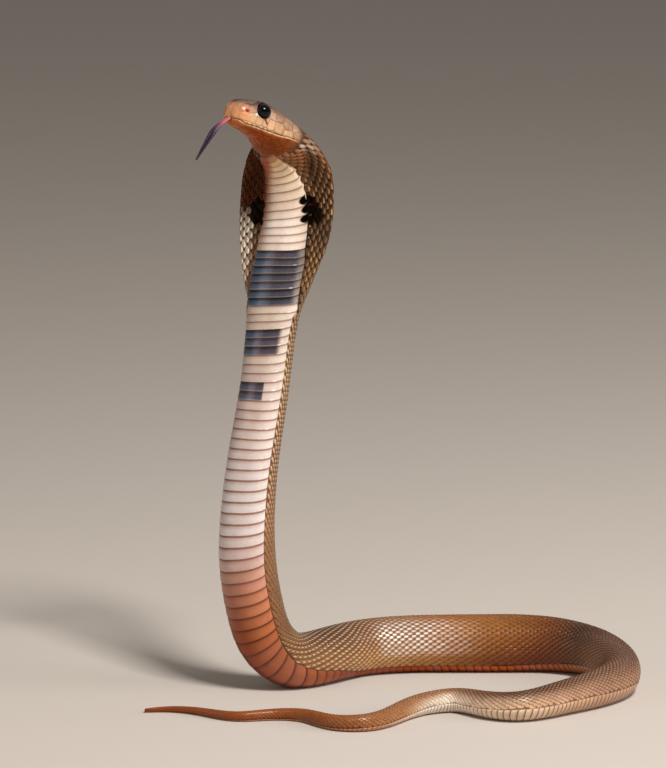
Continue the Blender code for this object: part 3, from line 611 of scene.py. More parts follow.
def buildScutes():
    alongCount, acrossCount = len(scutes["alongShape"]), scutes["across"]
    piece, i, j = addGrid("scuteShape", alongCount, acrossCount)
    faces = takeFaces(piece)
    a, h = np.array(scutes["alongShape"])[i], np.array(scutes["liftShape"])[i]
    q = np.linspace(-1, 1, acrossCount)[j]
    starts, s = [], scutes["start"]
    while s < scutes["end"]:
        pitch = float(readTable(scutes["pitch"], s))
        halves = ((-1, 0), (0, 1)) if s > scutes["split"] else ((-1, 1),)        # paired under the tail
        for low, high in halves:
            starts.append((s + (0.5 * pitch if low == 0 else 0), pitch, low, high))
        s += pitch
    shade = rng.uniform(-1, 1, len(starts))
    s0, pitch, low, high = (v[:, None] for v in np.array(starts).T)
    across = low + (q[None] + 1) / 2 * (high - low)
    bow = scutes["bow"] * (np.abs(across) ** 3) * pitch
    slant = readTable(scutes["slant"], s0) * across
    sHere = s0 + a[None] * pitch * (1 + scutes["overlap"]) - bow - slant
    rise = readTable(scutes["lift"], s0)
    drop = fadeIn(np.abs(q), 0.9, 1)[None] * (rise * 0.9 + 0.05)
    drop = drop + readTable(scutes["sunk"], np.maximum(sHere, 12))
    points = toMetres(bellySheet.read(sHere, (across * scutes["reach"] + 1) / 2, h[None] * rise - drop))
    half = backSheet.width(s0) / 2
    values = {
        "along": s0 + 0.5 * pitch,
        "away": half + (1 - np.abs(across)) * bellySheet.width(s0) / 2 + 0.3,
        "half": half, "side": across, "tip": a[None] * 2 - 1,
        "shade": shade[:, None], "hand": np.sign(across),
    }
    unwrapped = bakePatches(s0[:, 0], np.full(len(s0), 0.5), 2 * a - 1, q * 8)
    print("belly scutes:", len(starts))
    return joinedPieces("bellyScutes", points, faces, values, unwrapped)


class Maths:        # a shader value that can be added, scaled and compared as numbers are
    def __init__(self, looks, socket):
        self.looks, self.socket = looks, socket

    def using(self, operation, *values):
        return self.looks.node("ShaderNodeMath", {"operation": operation}, dict(enumerate(values)))

    def __add__(self, other):
        return self.using("ADD", self, other)

    __radd__ = __add__

    def __sub__(self, other):
        return self.using("SUBTRACT", self, other)

    def __rsub__(self, other):
        return self.using("SUBTRACT", other, self)

    def __mul__(self, other):
        return self.using("MULTIPLY", self, other)

    __rmul__ = __mul__

    def __truediv__(self, other):
        return self.using("DIVIDE", self, other)

    def __rtruediv__(self, other):
        return self.using("DIVIDE", other, self)

    def __pow__(self, other):
        return self.using("POWER", self, other)

    def __rpow__(self, other):
        return self.using("POWER", other, self)

    def __abs__(self):
        return self.using("ABSOLUTE", self)

    def top(self, other):
        return self.using("MAXIMUM", self, other)

    def step(self, none, full):        # 0 at none, 1 at full, smooth between
        sockets = {0: self, 1: none, 2: full, 3: 0, 4: 1}
        return self.looks.node("ShaderNodeMapRange", {"interpolation_type": "SMOOTHSTEP"}, sockets)

    def span(self, start, full, fading, end):        # a stretch that fades in and out again
        return self.step(start, full) * self.step(end, fading)


class Looks:        # a material under construction
    def __init__(self, name):
        self.material = bpy.data.materials.new(name)
        self.material.use_nodes = True
        self.nodes = self.material.node_tree.nodes
        self.links = self.material.node_tree.links
        self.shader = self.nodes["Principled BSDF"]

    def node(self, kind, settings=None, sockets=None, out=0):
        made = self.nodes.new(kind)
        for key, value in (settings or {}).items():
            if key == "stops":
                elements = made.color_ramp.elements
                while len(elements) < len(value):
                    elements.new(0.5)
                for element, (place, tone) in zip(elements, value):
                    element.position = place
                    element.color = colour(tone)
            else:
                setattr(made, key, value)
        for key, value in (sockets or {}).items():
            self.put(made.inputs[key], value)
        return Maths(self, made.outputs[out])

    def put(self, socket, value):        # a link, a colour by its name or its three numbers, or a plain value
        if isinstance(value, Maths):
            self.links.new(value.socket, socket)
            return
        if isinstance(value, str):
            value = tones[value]
        onScreen = socket.type == "RGBA" and len(value) == 3
        socket.default_value = colour(value) if onScreen else value

    def set(self, name, value):
        self.put(self.shader.inputs[name], value)

    def read(self, *names):        # the piece's own attributes
        return [self.node("ShaderNodeAttribute", {"attribute_name": name}, out=2) for name in names]

    def mix(self, factor, one, two):
        return self.node("ShaderNodeMix", {"data_type": "RGBA"}, {0: factor, 6: one, 7: two}, out=2)

    def paint(self, base, *layers):        # each layer is how much it covers and its colour
        for cover, tone in layers:
            base = self.mix(cover, base, tone)
        return base

    def ramp(self, value, stops):
        return self.node("ShaderNodeValToRGB", {"stops": stops}, {0: value})

    def noise(self, scale, detail=3):
        place = self.node("ShaderNodeTexCoord", out=3)
        sockets = {"Vector": place, "Scale": scale, "Detail": detail, "Roughness": 0.55}
        return self.node("ShaderNodeTexNoise", None, sockets)


def colour(tone):        # a colour from 0 to 255 as the screen shows it, made linear
    shares = [value / 255 for value in tone]
    return [share / 12.92 if share <= 0.04045 else ((share + 0.055) / 1.055) ** 2.4 for share in shares] + [1]


# The animal's colours, as the screen shows them: the first four by distance from the snout in millimetres.
tones = {
    # On the back, painted shade darkens the inside of the bend, around 170-190 mm.
    "back": [
        (0, 112, 80, 62), (12, 104, 74, 54), (20, 66, 38, 16), (34, 58, 36, 16), (50, 100, 72, 46),
        (80, 112, 80, 50), (116, 76, 52, 36), (130, 82, 56, 42), (146, 130, 92, 66), (158, 148, 90, 42),
        (166, 140, 88, 40), (176, 104, 54, 16), (185, 54, 32, 22), (192, 84, 58, 47), (204, 88, 60, 48),
        (214, 98, 68, 54), (224, 84, 58, 46), (235, 66, 44, 34), (251, 138, 94, 64), (266, 138, 94, 60),
        (280, 138, 76, 34), (320, 136, 60, 18),
    ],
    # On the flank, painted shade behind the jaw (15-24 mm) and on the inside of the bend (164-190 mm), and a
    # painted highlight around 251 mm.
    "flank": [
        (0, 190, 146, 106), (12, 170, 122, 84), (15, 138, 82, 44), (22, 82, 50, 26), (32, 53, 32, 17),
        (44, 114, 84, 57), (63, 152, 120, 90), (75, 150, 113, 88), (92, 148, 100, 70), (118, 114, 74, 44),
        (130, 147, 104, 66), (140, 176, 127, 74), (152, 170, 116, 60), (164, 126, 64, 18), (176, 96, 34, 0),
        (186, 94, 58, 36), (195, 156, 116, 90), (204, 148, 108, 84), (214, 148, 110, 88),
        (224, 180, 140, 114), (236, 216, 178, 146), (251, 250, 238, 220), (262, 168, 118, 76),
        (280, 136, 74, 34), (320, 136, 60, 18),
    ],
    # On the belly, painted shade under the jaw (0-13 mm); its red-brown under the lying body (150-182 mm) is
    # partly painted shade; painted highlights around 84-93 mm and 238-252 mm.
    "belly": [
        (0, 140, 72, 34), (13, 140, 62, 16), (14.2, 188, 128, 74), (15.8, 238, 198, 148),
        (17.6, 246, 212, 168), (21, 242, 216, 180), (27, 224, 205, 182), (44, 206, 190, 174),
        (54, 194, 180, 165), (70, 198, 180, 171), (84, 202, 192, 188), (93, 210, 196, 193),
        (101, 178, 122, 96), (109, 150, 70, 32), (117, 146, 60, 16), (130, 132, 52, 10), (150, 172, 74, 10),
        (168, 200, 92, 18), (182, 170, 92, 46), (200, 176, 142, 110), (214, 172, 134, 104),
        (226, 198, 162, 128), (238, 230, 206, 178), (252, 244, 232, 216), (270, 190, 128, 78),
        (320, 146, 80, 36),
    ],
    "heart": [
        (0, 226, 202, 168), (116, 214, 188, 154), (146, 214, 182, 146), (158, 184, 132, 76),
        (172, 150, 100, 56), (186, 188, 160, 138), (210, 216, 180, 142), (240, 206, 160, 112),
        (270, 172, 110, 56), (320, 152, 88, 40),
    ],
    "crown": [
        (0, (194, 152, 114)), (0.25, (172, 142, 116)), (0.44, (150, 122, 104)), (0.66, (124, 94, 82)),
        (0.78, (72, 50, 48)), (1, (44, 31, 34)),
    ],
    "jaw": [
        (0, (202, 82, 2)), (0.55, (170, 72, 4)), (0.8, (158, 72, 10)), (0.9, (164, 86, 34)),
        (0.945, (226, 164, 112)), (1, (240, 192, 146)),
    ],
    "snout": (200, 122, 68), "upperLip": (234, 200, 164), "temple": (122, 88, 64), "chin": (92, 54, 20),
    "mottle": (84, 34, 8), "bareSkin": (34, 18, 9), "shield": (224, 196, 166), "gleam": (236, 230, 228),
    "shieldSeam": (92, 54, 36), "mouth": (66, 28, 14), "eyeRim": (34, 18, 12),
    "nostrilRim": (190, 112, 104), "nostril": (116, 26, 20),
    "mark": (214, 190, 150), "markEdge": (30, 18, 12), "spot": (5, 2, 1),
    "darkScale": (60, 32, 14), "wingShadow": (58, 16, 0), "wingFold": (176, 156, 148),
    "gold": (212, 164, 106), "jawCorner": (236, 228, 216), "wingGlint": (240, 226, 206),
    "neckScale": (228, 198, 158), "outline": (222, 186, 138), "scaleSheen": (246, 240, 232),
    "scaleEdge": (32, 16, 7),
    "band": (34, 90, 130), "bandDark": (52, 48, 64), "bandFront": (8, 10, 16), "bandSpeck": (128, 138, 150),
    "bandShade": (20, 24, 34), "bandRear": (170, 164, 160),
    "lilac": (190, 168, 184), "throat": (170, 78, 22), "bright": (240, 236, 228), "gloss": (250, 246, 240),
    "glow": (208, 130, 84), "seam": (126, 68, 36), "lowSeam": (92, 34, 14), "rear": (238, 228, 214),
    "scuteSheen": (228, 228, 228), "mauve": (186, 160, 176), "spark": (252, 250, 246),
    "broad": (104, 58, 30), "fine": (74, 42, 24),
    "iris": (24, 14, 9), "irisDark": (12, 8, 7), "pupil": (3, 3, 5), "eyeBorder": (4, 4, 6),
}

# The spectacle on the hood's back and the spots below: millimetres from the snout, and from the
# middle of the back or from the scutes.
hoodMarks = {
    "ringAt": 26.5, "ringAcross": 4, "ringRadius": 2.7,
    "bridgeAt": 32.6, "bridgeBend": 0.72, "bridgeWiden": 0.9,
    "spotAt": 29.8, "spotAcross": 1.3, "spotUneven": 0.8, "spotLength": 2.8, "spotWidth": 2.25,
}


def toneRamp(looks, name, along):
    stops = [(at / cobra["length"], tone) for at, *tone in tones[name]]
    return looks.ramp(along * (1 / cobra["length"]), stops)


def cobraColour(looks):        # markings by a point's place on the animal, the same for skin and coat
    along, away, half, hand, shade = looks.read("along", "away", "half", "hand", "shade")
    edge, around = half - away, away / half
    onBelly = edge.step(0.05, -0.05)
    ringAlong, ringAcross = along - hoodMarks["ringAt"], away - hoodMarks["ringAcross"]
    ring = (ringAlong * ringAlong + ringAcross * ringAcross) ** 0.5
    bridge = abs(along - hoodMarks["bridgeAt"] + away * away * hoodMarks["bridgeBend"])
    bridge = bridge / (1 + hoodMarks["bridgeWiden"] * away) + away.step(2.4, 3) * 4
    pale = abs(ring - hoodMarks["ringRadius"]).step(0.8, 0.56).top(bridge.step(1.1, 0.86))
    dark = ring.step(4.6, 4.2).top(bridge.step(2.4, 1.9))
    spotAlong = along - hoodMarks["spotAt"] + hand * hoodMarks["spotUneven"]
    spotAlong = spotAlong * (1 / hoodMarks["spotLength"])
    spotAcross = (edge - hoodMarks["spotAcross"]) * (1 / hoodMarks["spotWidth"])
    spot = (spotAlong * spotAlong + spotAcross * spotAcross).step(1.08, 0.86)
    base = looks.paint(
        toneRamp(looks, "back", along),
        (around.step(0.35, 0.95), toneRamp(looks, "flank", along)),
        (dark * 0.88, "markEdge"), (pale * 0.92, "mark"),
        (onBelly, toneRamp(looks, "belly", along)),
        (spot, "spot"),
    )
    return SimpleNamespace(
        base=base, along=along, edge=edge, around=around, onBelly=onBelly, hand=hand, shade=shade, spot=spot,
        dark=dark,
    )


def skinColour(looks, place):
    along, shade = place.along, place.shade
    onHead, seam, crown, gleam, eyeRim, nostril = looks.read(
        "onHead", "seam", "crown", "gleam", "eyeRim", "nostril"
    )
    lip, lipHeight = looks.read("lip", "lipHeight")
    lowJaw = lipHeight.step(0.05, -0.25)
    upJaw = 1 - lowJaw
    patchy = looks.noise(900)
    top = crown + (patchy - 0.5) * 0.07 + along.step(6.4, 3.4) * 0.05
    behind = along.step(6.6, 11) * upJaw * (patchy.step(0.36, 0.6) * 0.7 + 0.3)
    headTone = looks.paint(
        looks.ramp(top, tones["crown"]),
        (lowJaw, looks.ramp(lipHeight * 0.25 + 1, tones["jaw"])),
        (along.step(3.6, 0.3) * 0.7 * crown.step(0.7, 0.4), "snout"),
        (lipHeight.step(0.6, 0.2) * upJaw * 0.34, "upperLip"),
        (behind * 0.66, "temple"),
        # painted shade under the back of the jaw
        (along.step(7, 11.5) * lipHeight.step(-0.1, -0.4) * 0.7, "chin"),
        (patchy.step(0.5, 0.64) * lowJaw * along.step(1.5, 4) * 0.4, "mottle"),
    )
    betweenScales = looks.mix(along.step(60, 40) * 0.3 + 0.5, place.base, "bareSkin")
    seamTone = patchy.step(0.25, 0.65) * (0.5 - 0.3 * lowJaw) + 0.05 + 0.2 * along.step(5, 7) * upJaw
    base = looks.paint(
        betweenScales,
        (place.onBelly, place.base),
        (onHead.step(0.1, 0.9), headTone),
        (shade.step(-1, 1) * 0.14 * onHead * upJaw, "shield"),
        (gleam.step(0.12, 0.8) * 0.7, "gleam"),
        (seam * seamTone * (1 - 0.75 * along.step(3.8, 2.2)), "shieldSeam"),
        (lip.step(0.35, 0.9) * 0.85, "mouth"),
        (eyeRim.step(0.3, 0.85) * 0.88, "eyeRim"),
        (nostril.step(0.02, 0.4) * 0.5, "nostrilRim"),
        (nostril.step(0.2, 0.7) * 0.92, "nostril"),
    )
    shine = onHead * (top.step(0.66, 0.8) * 0.2).top(lipHeight.step(-0.3, -0.9) * 0.45)
    return base, shine, 0.3 * top.step(0.4, 0.66) * onHead


# Marks and painted highlights on the back scales: where each fades in and out again, in millimetres from the
# snout.
scaleMarks = {
    "cornerGlint": (12.6, 13.6, 15.4, 17.4),        # painted glints on the scales behind the jaw
    "dimmed": (28, 31, 34, 38),
    "glint": (30, 33.5, 50, 58),               # painted glints on the scales at the foot of the left wing
    "neckRows": (44, 56, 78, 100),
    "outlined": (76, 96, 116, 128),
    "hearts": (112, 122, 160, 196),
    "sheen": (139, 145, 152, 166),
}


def scaleColour(looks, place):
    along, edge, around, shade, bare = place.along, place.edge, place.around, place.shade, 1 - place.spot
    tip, rim, cross = looks.read("tip", "rim", "cross")
    hood, late = along.step(52, 38), along.step(186, 196)
    # Gold on the hood scales: partly their own pale rims, partly a painted highlight streak down one side of
    # each scale.
    streak = cross.span(0.1, 0.5, 0.8, 0.98) * tip.span(-0.7, -0.1, 0.7, 0.98)
    rimAndHighlight = (tip.step(-0.1, 0.6) * rim.span(0.45, 0.75, 0.86, 0.98) * 0.45).top(streak)
    dot = rim.step(0.5, 0.2) * tip.step(-0.9, -0.4)

    # Under the wing on the camera's left: painted shade above, painted glints below, with a painted highlight
    # along a fold between.
    underLeft = place.hand.step(0.2, -0.2) * edge.step(7.6, 5.8)
    shadowed = along.step(33, 29) * underLeft * bare
    foldHighlight = abs(along - 27.6 - edge * 0.75).step(1, 0.4) * underLeft
    glint = underLeft * along.span(*scaleMarks["glint"]) * edge.step(2, 3.4)
    cornerGlint = along.span(*scaleMarks["cornerGlint"]) * around.span(0.44, 0.54, 0.62, 0.72)
    cornerGlint = cornerGlint * (0.55 + 0.45 * shade)
    # How much of the gold shows: less in the painted shade under the left wing and below the jaw, less from
    # 28 to 38 mm, and varying at random from scale to scale.
    lit = (0.72 - 0.66 * shadowed) * (1 - 0.55 * along.step(28, 15))
    lit = lit * (1 - 0.5 * along.span(*scaleMarks["dimmed"]))
    lit = lit * (1 - 0.75 * along.step(27, 18) * edge.step(5, 2.5)) * (0.9 + 0.4 * shade)

    # Farther back: pale scales on the neck, their pale front partly a painted highlight, outlined ones, then
    # ones with a pale heart, and a painted highlight on the lying body.
    neckRows, outlined = along.span(*scaleMarks["neckRows"]), along.span(*scaleMarks["outlined"])
    dotted = along.span(*scaleMarks["hearts"]) * dot * (0.62 - 0.3 * along.step(146, 164))
    # a painted highlight on the back and upper side of the lying body, 139-166 mm
    sheen = along.span(*scaleMarks["sheen"]) * around.span(0.08, 0.3, 0.7, 0.84)
    sheen = sheen * (rim.step(0.62, 0.3) * (0.5 + 0.25 * shade) + 0.06)
    heart = toneRamp(looks, "heart", along)
    border = 0.78 - 0.3 * along.step(84, 122) - 0.08 * late - 0.16 * along.step(240, 256)
    base = looks.paint(
        place.base,
        (0.5 + 0.5 * shade, looks.mix(0.25, place.base, "darkScale")),
        (shadowed * 0.92, "wingShadow"),
        (foldHighlight * bare * 0.34, "wingFold"),
        (hood * rimAndHighlight * lit * bare * (1 - place.dark * 0.6), "gold"),
        (cornerGlint * rim.step(0.9, 0.4) * 0.6, "jawCorner"),
        (glint * (rimAndHighlight * 0.8 + 0.34 + 0.12 * shade) * bare, "wingGlint"),
        (neckRows * rim.step(0.85, 0.4) * tip.step(0.8, -0.4) * 0.55, "neckScale"),
        (outlined * rim.step(0.6, 0.84) * tip.step(-0.2, 0.4) * 0.5, "outline"),
        (dotted, heart), (sheen, "scaleSheen"), (late * dot * 0.3, heart),
    )
    edgeTone = looks.mix(0.6 + 0.28 * hood, base, "scaleEdge")
    return looks.mix(rim.step(0.5, 0.95) * border, base, edgeTone), shadowed * 0.8, 0


# Marks and painted light on the scutes: where each fades in and out again, in millimetres from the snout.
scuteMarks = {
    "wideBand": (37.4, 37.6, 48.1, 48.3), "middleBand": (53, 53.2, 58.2, 58.4),
    "narrowBand": (63.1, 63.3, 66.7, 66.9),
    "spotLobes": (27.9, 28.1, 32.8, 33),
    "lilac": (46, 62, 84, 96), "bright": (28, 44, 84, 112), "glow": (96, 106, 120, 136),
    "gloss": (28, 32, 36, 37.6), "sheen": (66, 84, 92, 102), "spark": (36, 42, 70, 84),
    "shine": (104, 118, 174, 186),
}


def bandMask(along, side):        # the first band crosses the belly, the others only part of it
    wide = along.span(*scuteMarks["wideBand"])
    middle = along.span(*scuteMarks["middleBand"]) * side.step(0.72, 0.52)
    narrow = along.span(*scuteMarks["narrowBand"]) * side.step(0.34, 0.28)
    return wide.top(middle).top(narrow)


def scuteColour(looks, place):
    along, shade = place.along, place.shade
    tip, side = looks.read("tip", "side")
    band = bandMask(along, side)
    rear = tip.step(0.66, 0.94) * along.step(16, 20)
    # The bands are dark; their blue towards the camera's left is a painted reflection, and the black line at
    # each plate's front is partly dark scale, partly painted shade under the plate before.
    dark = looks.paint(
        looks.mix(side.step(-0.6, 0.1) * 0.85, "band", "bandDark"),
        (looks.noise(7000, 2).step(0.42, 0.62) * 0.3, "bandSpeck"),
        (tip.step(0.5, -0.2) * 0.45, "bandShade"),
        (tip.step(-0.02, -0.26) * 0.97, "bandFront"),
        (rear * (0.5 + 0.2 * shade), "bandRear"),
    )
    # The throat's edge on the camera's left: orange-brown, partly its own colour, partly painted shade under
    # the head.
    throat = (side - along.step(26, 14) * 0.45).step(-0.15, -0.75) * along.step(46, 22) * 0.9
    # a painted lilac reflection on the camera's left side of the plates, 46-96 mm
    lilac = side.step(0.2, -0.7) * along.span(*scuteMarks["lilac"])
    # painted light on the camera's right side of the plates, 28-112 mm
    bright = side.step(0.2, 0.9) * along.span(*scuteMarks["bright"])
    # a painted highlight: a soft pale patch across the middle of the plates, 28-37.6 mm
    gloss = side.span(-0.8, -0.3, 0.3, 0.9) * along.span(*scuteMarks["gloss"]) * (0.35 + 0.3 * shade)
    glow = side.step(-0.25, 0.5) * along.span(*scuteMarks["glow"])
    lobes = (abs(side) - (tip - 0.1) * (tip - 0.1) * 0.22 + shade * 0.05).step(0.7, 0.78)
    lobes = lobes * along.span(*scuteMarks["spotLobes"]) * tip.step(-0.75, -0.55)
    place.spot = place.spot.top(lobes)        # the spots run out onto the scutes
    bare = 1 - place.spot
    # The dark line and shading at each plate's front: partly dark joint, partly painted shade under the free
    # edge of the plate in front.
    line = (tip.step(0.3, -0.8) * 0.46).top(tip.step(-0.28, -0.5) * (0.74 + 0.12 * along.step(60, 84)))
    # a painted highlight towards the camera's left of the plates, 66-102 mm
    sheen = side.step(0.7, -0.6) * along.span(*scuteMarks["sheen"]) * (0.35 + 0.3 * shade)
    # painted glints at the rear edges on the camera's right, 36-84 mm
    spark = side.span(0.56, 0.62, 0.66, 0.72) * rear * along.span(*scuteMarks["spark"])
    base = looks.paint(
        place.base,
        (lilac * 0.3, "lilac"), (throat * 1.05, "throat"), (bright * 0.3, "bright"),
        (gloss, "gloss"), (glow * 0.5, "glow"), (place.spot, "spot"),
        (line * bare, looks.mix(along.step(94, 112), "seam", "lowSeam")),
        (rear * 0.22 * along.step(104, 80), "rear"),
        (band * (0.97 - 0.58 * side.step(0.62, 0.96)), dark),
        (sheen * tip.step(-0.3, 0.2), "scuteSheen"),
        ((0.05 + 0.05 * shade) * bare, "mauve"),
        (spark * shade.step(-0.7, 0.5) * 0.8, "spark"),
    )
    shine = (throat * 0.85).top(band * 0.45).top(along.span(*scuteMarks["shine"]) * 0.5)
    return base, shine, 0


def bodyMaterial(name, paintPiece, rough, gloss):
    looks = Looks(name)
    place = cobraColour(looks)
    base, shine, dull = paintPiece(looks, place)
    fine, broad, bare = looks.noise(2600, 4), looks.noise(260), 1 - place.spot
    broadTone, fineTone = broad.step(0.35, 0.7) * 0.14 * bare, fine.step(0.45, 0.75) * 0.12 * bare
    looks.set("Base Color", looks.paint(base, (broadTone, "broad"), (fineTone, "fine")))
    looks.set("Roughness", rough + dull + 0.12 * fine + 0.1 * place.spot)
    looks.set("Metallic", (place.spot * 0.85).top(shine))
    looks.set("Specular IOR Level", gloss)
    looks.set("Specular Tint", (1, 0.87, 0.76, 1))
    looks.set("Subsurface Weight", 0.04)
    looks.set("Subsurface Radius", (0.0012, 0.0006, 0.0003))
    relief = {"Height": fine, "Strength": 0.15, "Distance": 0.00005}
    looks.set("Normal", looks.node("ShaderNodeBump", None, relief))
    return looks.material


def buildEyes(middles):        # glossy dark eyes, flattened so that they stand just proud of the head
    looks = Looks("eye")
    out = looks.read("pupil")[0]
    looks.set("Base Color", looks.paint(
        looks.mix(looks.noise(3500) * 0.5, "iris", "irisDark"),
        (out.step(0.66, 0.6), "pupil"), (out.step(0.9, 0.98) * 0.9, "eyeBorder"),
    ))
    looks.set("Roughness", 0.06)
    looks.set("Specular IOR Level", 0.22)
    looks.set("Specular Tint", (0.66, 0.9, 1, 1))
    made = []
    for side, middle, word in ((1, middles[0], "Left"), (-1, middles[1], "Right")):
        axis = eyeAxis(side)
        pickNothing()
        bpy.ops.mesh.primitive_uv_sphere_add(segments=48, ring_count=32, radius=1)
        piece = bpy.context.object
        piece.name = "eye" + word
        co = readPoints(piece)
        along = unit(np.cross(frameOf(head["eyeAt"])[2], axis))
        ways = np.array([along, np.cross(axis, along), axis])
        setPoints(piece, toMetres(middle + axis * head["eyeOut"] + (co * head["eyeAxes"]) @ ways))
        addAttribute(piece.data, "pupil", np.hypot(co[:, 0], co[:, 1]) + np.where(co[:, 2] < 0, 1, 0))
        closeUp(piece)
        piece.data.materials.append(looks.material)
        made.append(piece)
    return made


tongue = {
    "root": (0.45, -0.95),        # tailward and up from the snout tip
    "length": 11.3, "steps": 40, "around": 16,
    "droop": (0.26, 0.88), "droopBy": 0.6,
    "roll": 0.62, "rollBy": 0.35, "rollAbout": (0, -0.985, 0.17),
    "rootWidth": 0.4, "forkWidth": 0.66, "thickness": 0.25,
    "fork": 0.5, "tineOverlap": 4, "tineWidth": 0.31, "tineTaper": 0.74, "tineApart": (0.34, 0.1),
    "tones": [
        (0, (180, 96, 92)), (0.14, (170, 86, 94)), (0.27, (96, 54, 76)), (0.4, (40, 27, 47)),
        (0.8, (20, 15, 27)), (1, (38, 24, 30)),
    ],
    "bloom": (84, 60, 84),
}


def tubeAlong(name, rows):        # a closed tube through the rows
    turn = np.linspace(0, 2 * np.pi, tongue["around"] + 1)[:, None]
    points = np.array([middle + np.cos(turn) * across + np.sin(turn) * up for middle, across, up in rows])
    piece, i, j = addGrid(name, len(rows), tongue["around"] + 1)
    setPoints(piece, points[i, j])
    closeUp(piece)
    return piece


def buildTongue():        # a stem and two tines, drooping and turned a little to the side
    middle, tailward, back, left = frameOf(0)
    ahead = unit(-tailward * [1, 1, 0])
    steps = tongue["steps"]
    low, high = tongue["droop"]
    places, ways, across = [middle + tailward * tongue["root"][0] + back * tongue["root"][1]], [], []
    for i in range(steps + 1):
        bent = math.sin(min(1, i / steps / tongue["droopBy"]) * math.pi / 2) ** 1.5
        droop = low + (high - low) * bent
        way = ahead * math.cos(droop) - np.array([0, 0, math.sin(droop)])
        roll = tongue["roll"] * min(1, i / steps / tongue["rollBy"])
        ways.append(way)
        across.append(unit(left * (1 - roll) + unit(np.cross(tongue["rollAbout"], way)) * roll))
        places.append(places[-1] + way * tongue["length"] / steps)
    places = np.array(places[:-1])
    up = [np.cross(way, side) for way, side in zip(ways, across)]

    def row(i, apart, wide, fade):        # a middle and two half axes
        return places[i] + apart * across[i], across[i] * wide * fade, up[i] * tongue["thickness"] * fade

    fork = round(tongue["fork"] * steps)
    wider = (tongue["forkWidth"] - tongue["rootWidth"]) / fork
    rows = [row(i, 0, tongue["rootWidth"] + wider * i, 0.3 if i == fork else 1) for i in range(fork + 1)]
    tubes = [tubeAlong("stem", rows)]
    first = fork - tongue["tineOverlap"]
    for side in (-1, 1):
        rows = []
        for i in range(first, steps + 1):
            share = (i - first) / (steps - first)
            fade = (1 - tongue["tineTaper"] * max(0, share - 0.15) / 0.85) * (0.3 if i == first else 1)
            apart = tongue["tineApart"][0] * (1 - share) + tongue["tineApart"][1] * share
            rows.append(row(i, side * apart, tongue["tineWidth"], fade))
        tubes.append(tubeAlong("tine", rows))
    pickNothing()
    for piece in tubes:
        piece.select_set(True)
    bpy.context.view_layer.objects.active = tubes[0]
    bpy.ops.object.join()
    piece = bpy.context.object
    piece.name = "forkedTongue"
    co = readPoints(piece)
    near = np.linalg.norm(co[:, None] - places[None], axis=-1).argmin(1)
    setPoints(piece, toMetres(co))
    addAttribute(piece.data, "share", near / steps)
    bpy.ops.object.shade_smooth()
    looks = Looks("tongue")
    fine = looks.noise(1800)
    tone = looks.ramp(looks.read("share")[0], tongue["tones"])
    looks.set("Base Color", looks.mix(fine.step(0.4, 0.7) * 0.2, tone, tongue["bloom"]))
    looks.set("Roughness", 0.4 + 0.1 * fine)
    looks.set("Specular IOR Level", 0.2)
    piece.data.materials.append(looks.material)
    return piece


view = {
    "distance": 850, "elevation": 10, "target": (0, -19, 58.5),
    "pixelsPerMm": 5.25, "frameHeight": 768, "sensor": 36,
}


def placeCamera():        # looks along +Y, ten degrees down, from well back
    tilt = math.radians(view["elevation"])
    target = np.array(view["target"]) + np.array(cobra["shift"])
    ahead = np.array([0, math.cos(tilt), -math.sin(tilt)])
    place = (target - ahead * view["distance"]) * 0.001
    bpy.ops.object.camera_add(location=place, rotation=(math.pi / 2 - tilt, 0, 0))
    camera = bpy.context.object
    camera.data.sensor_width = view["sensor"]
    camera.data.lens = view["pixelsPerMm"] * view["distance"] * view["sensor"] / view["frameHeight"]
    camera.data.clip_start = 0.01
    bpy.context.scene.camera = camera


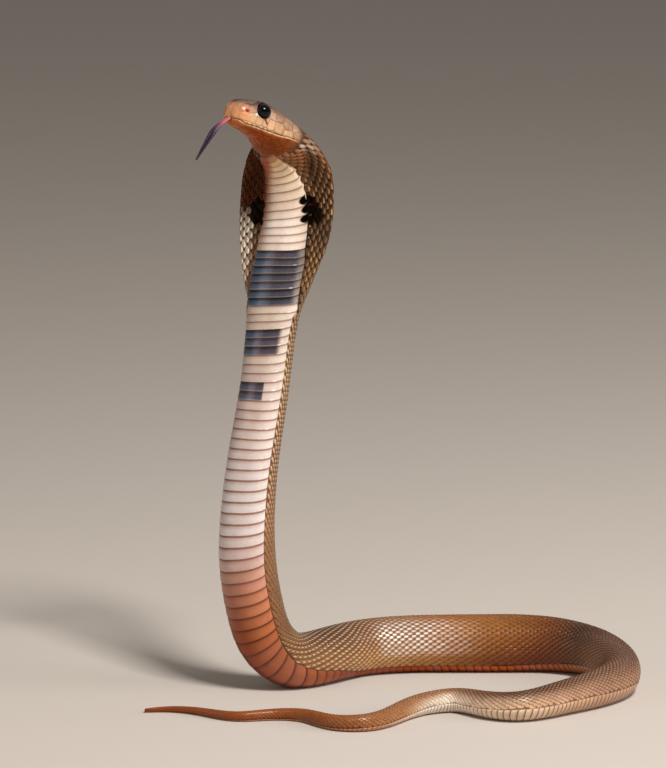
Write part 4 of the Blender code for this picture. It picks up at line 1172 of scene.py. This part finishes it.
studio = {
    "floorTones": [(0.52, 0.475, 0.435, 1), (0.47, 0.43, 0.39, 1)],
    "floorSize": 6, "floorHeight": -0.00005,
    "lights": [        # name, place, size, power, colour, and whether it shows in the eye
        ("keyLight", (0.23, -0.34, 0.6), 0.16, 5.9, (1, 0.96, 0.91), True),
        ("fillLight", (-0.66, -0.3, 0.24), 0.4, 0.9, (1, 0.88, 0.78), True),
        ("sideLight", (0.62, -0.16, 0.2), 0.3, 2.4, (1, 0.97, 0.94), False),
    ],
    "lightsAim": (0, 0, 0.05),
    "airTone": (0.9, 0.82, 0.74, 1), "airStrength": 0.25,
}


def buildStudio():
    pickNothing()
    height = studio["floorHeight"]
    bpy.ops.mesh.primitive_plane_add(size=studio["floorSize"], location=(0, 0, height))
    floor = bpy.context.object
    floor.name = "floor"
    looks = Looks("floor")
    looks.set("Base Color", looks.mix(looks.noise(40) * 0.3, *studio["floorTones"]))
    looks.set("Roughness", 0.8)
    floor.data.materials.append(looks.material)
    for name, place, size, power, tone, glossy in studio["lights"]:
        bpy.ops.object.light_add(type="AREA", location=place)
        light = bpy.context.object
        light.name = name
        light.data.size = size
        light.data.energy = power
        light.data.color = tone
        light.visible_glossy = glossy
        way = Vector(studio["lightsAim"]) - Vector(place)
        light.rotation_euler = way.to_track_quat("-Z", "Y").to_euler()
    world = bpy.data.worlds.new("studio")
    bpy.context.scene.world = world
    world.use_nodes = True
    background = world.node_tree.nodes["Background"]
    background.inputs[0].default_value = studio["airTone"]
    background.inputs[1].default_value = studio["airStrength"]
    bpy.context.scene.view_settings.view_transform = "Standard"


placeCamera()
buildStudio()
print("studio ready")

fleshNodes = [
    "head", "lower_jaw", "hood", "neck", "forebody", "forebody_bend", "midbody_front", "midbody_back",
    "loop_front", "loop_back", "hindbody", "tail_base", "tail_middle", "tail_tip",
]
skinPiece, eyeMiddles = buildSkin()
skinPiece.data.materials.append(bodyMaterial("skin", skinColour, rough=0.26, gloss=0.22))
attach(skinPiece, "root")
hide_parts(*fleshNodes)
print("skin made")

scaleMaterial = bodyMaterial("backScales", scaleColour, rough=0.2, gloss=0.34)
for piece in buildScales():
    piece.data.materials.append(scaleMaterial)
    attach(piece, "root")
scutePiece = buildScutes()
scutePiece.data.materials.append(bodyMaterial("bellyScutes", scuteColour, rough=0.26, gloss=0.34))
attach(scutePiece, "root")
print("coat made")

for piece, node in zip(buildEyes(eyeMiddles), ("eye_left", "eye_right")):
    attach(piece, "root")
    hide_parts(node)
tonguePiece = buildTongue()
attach(tonguePiece, "root")
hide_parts("tongue")
print("eyes and tongue made")
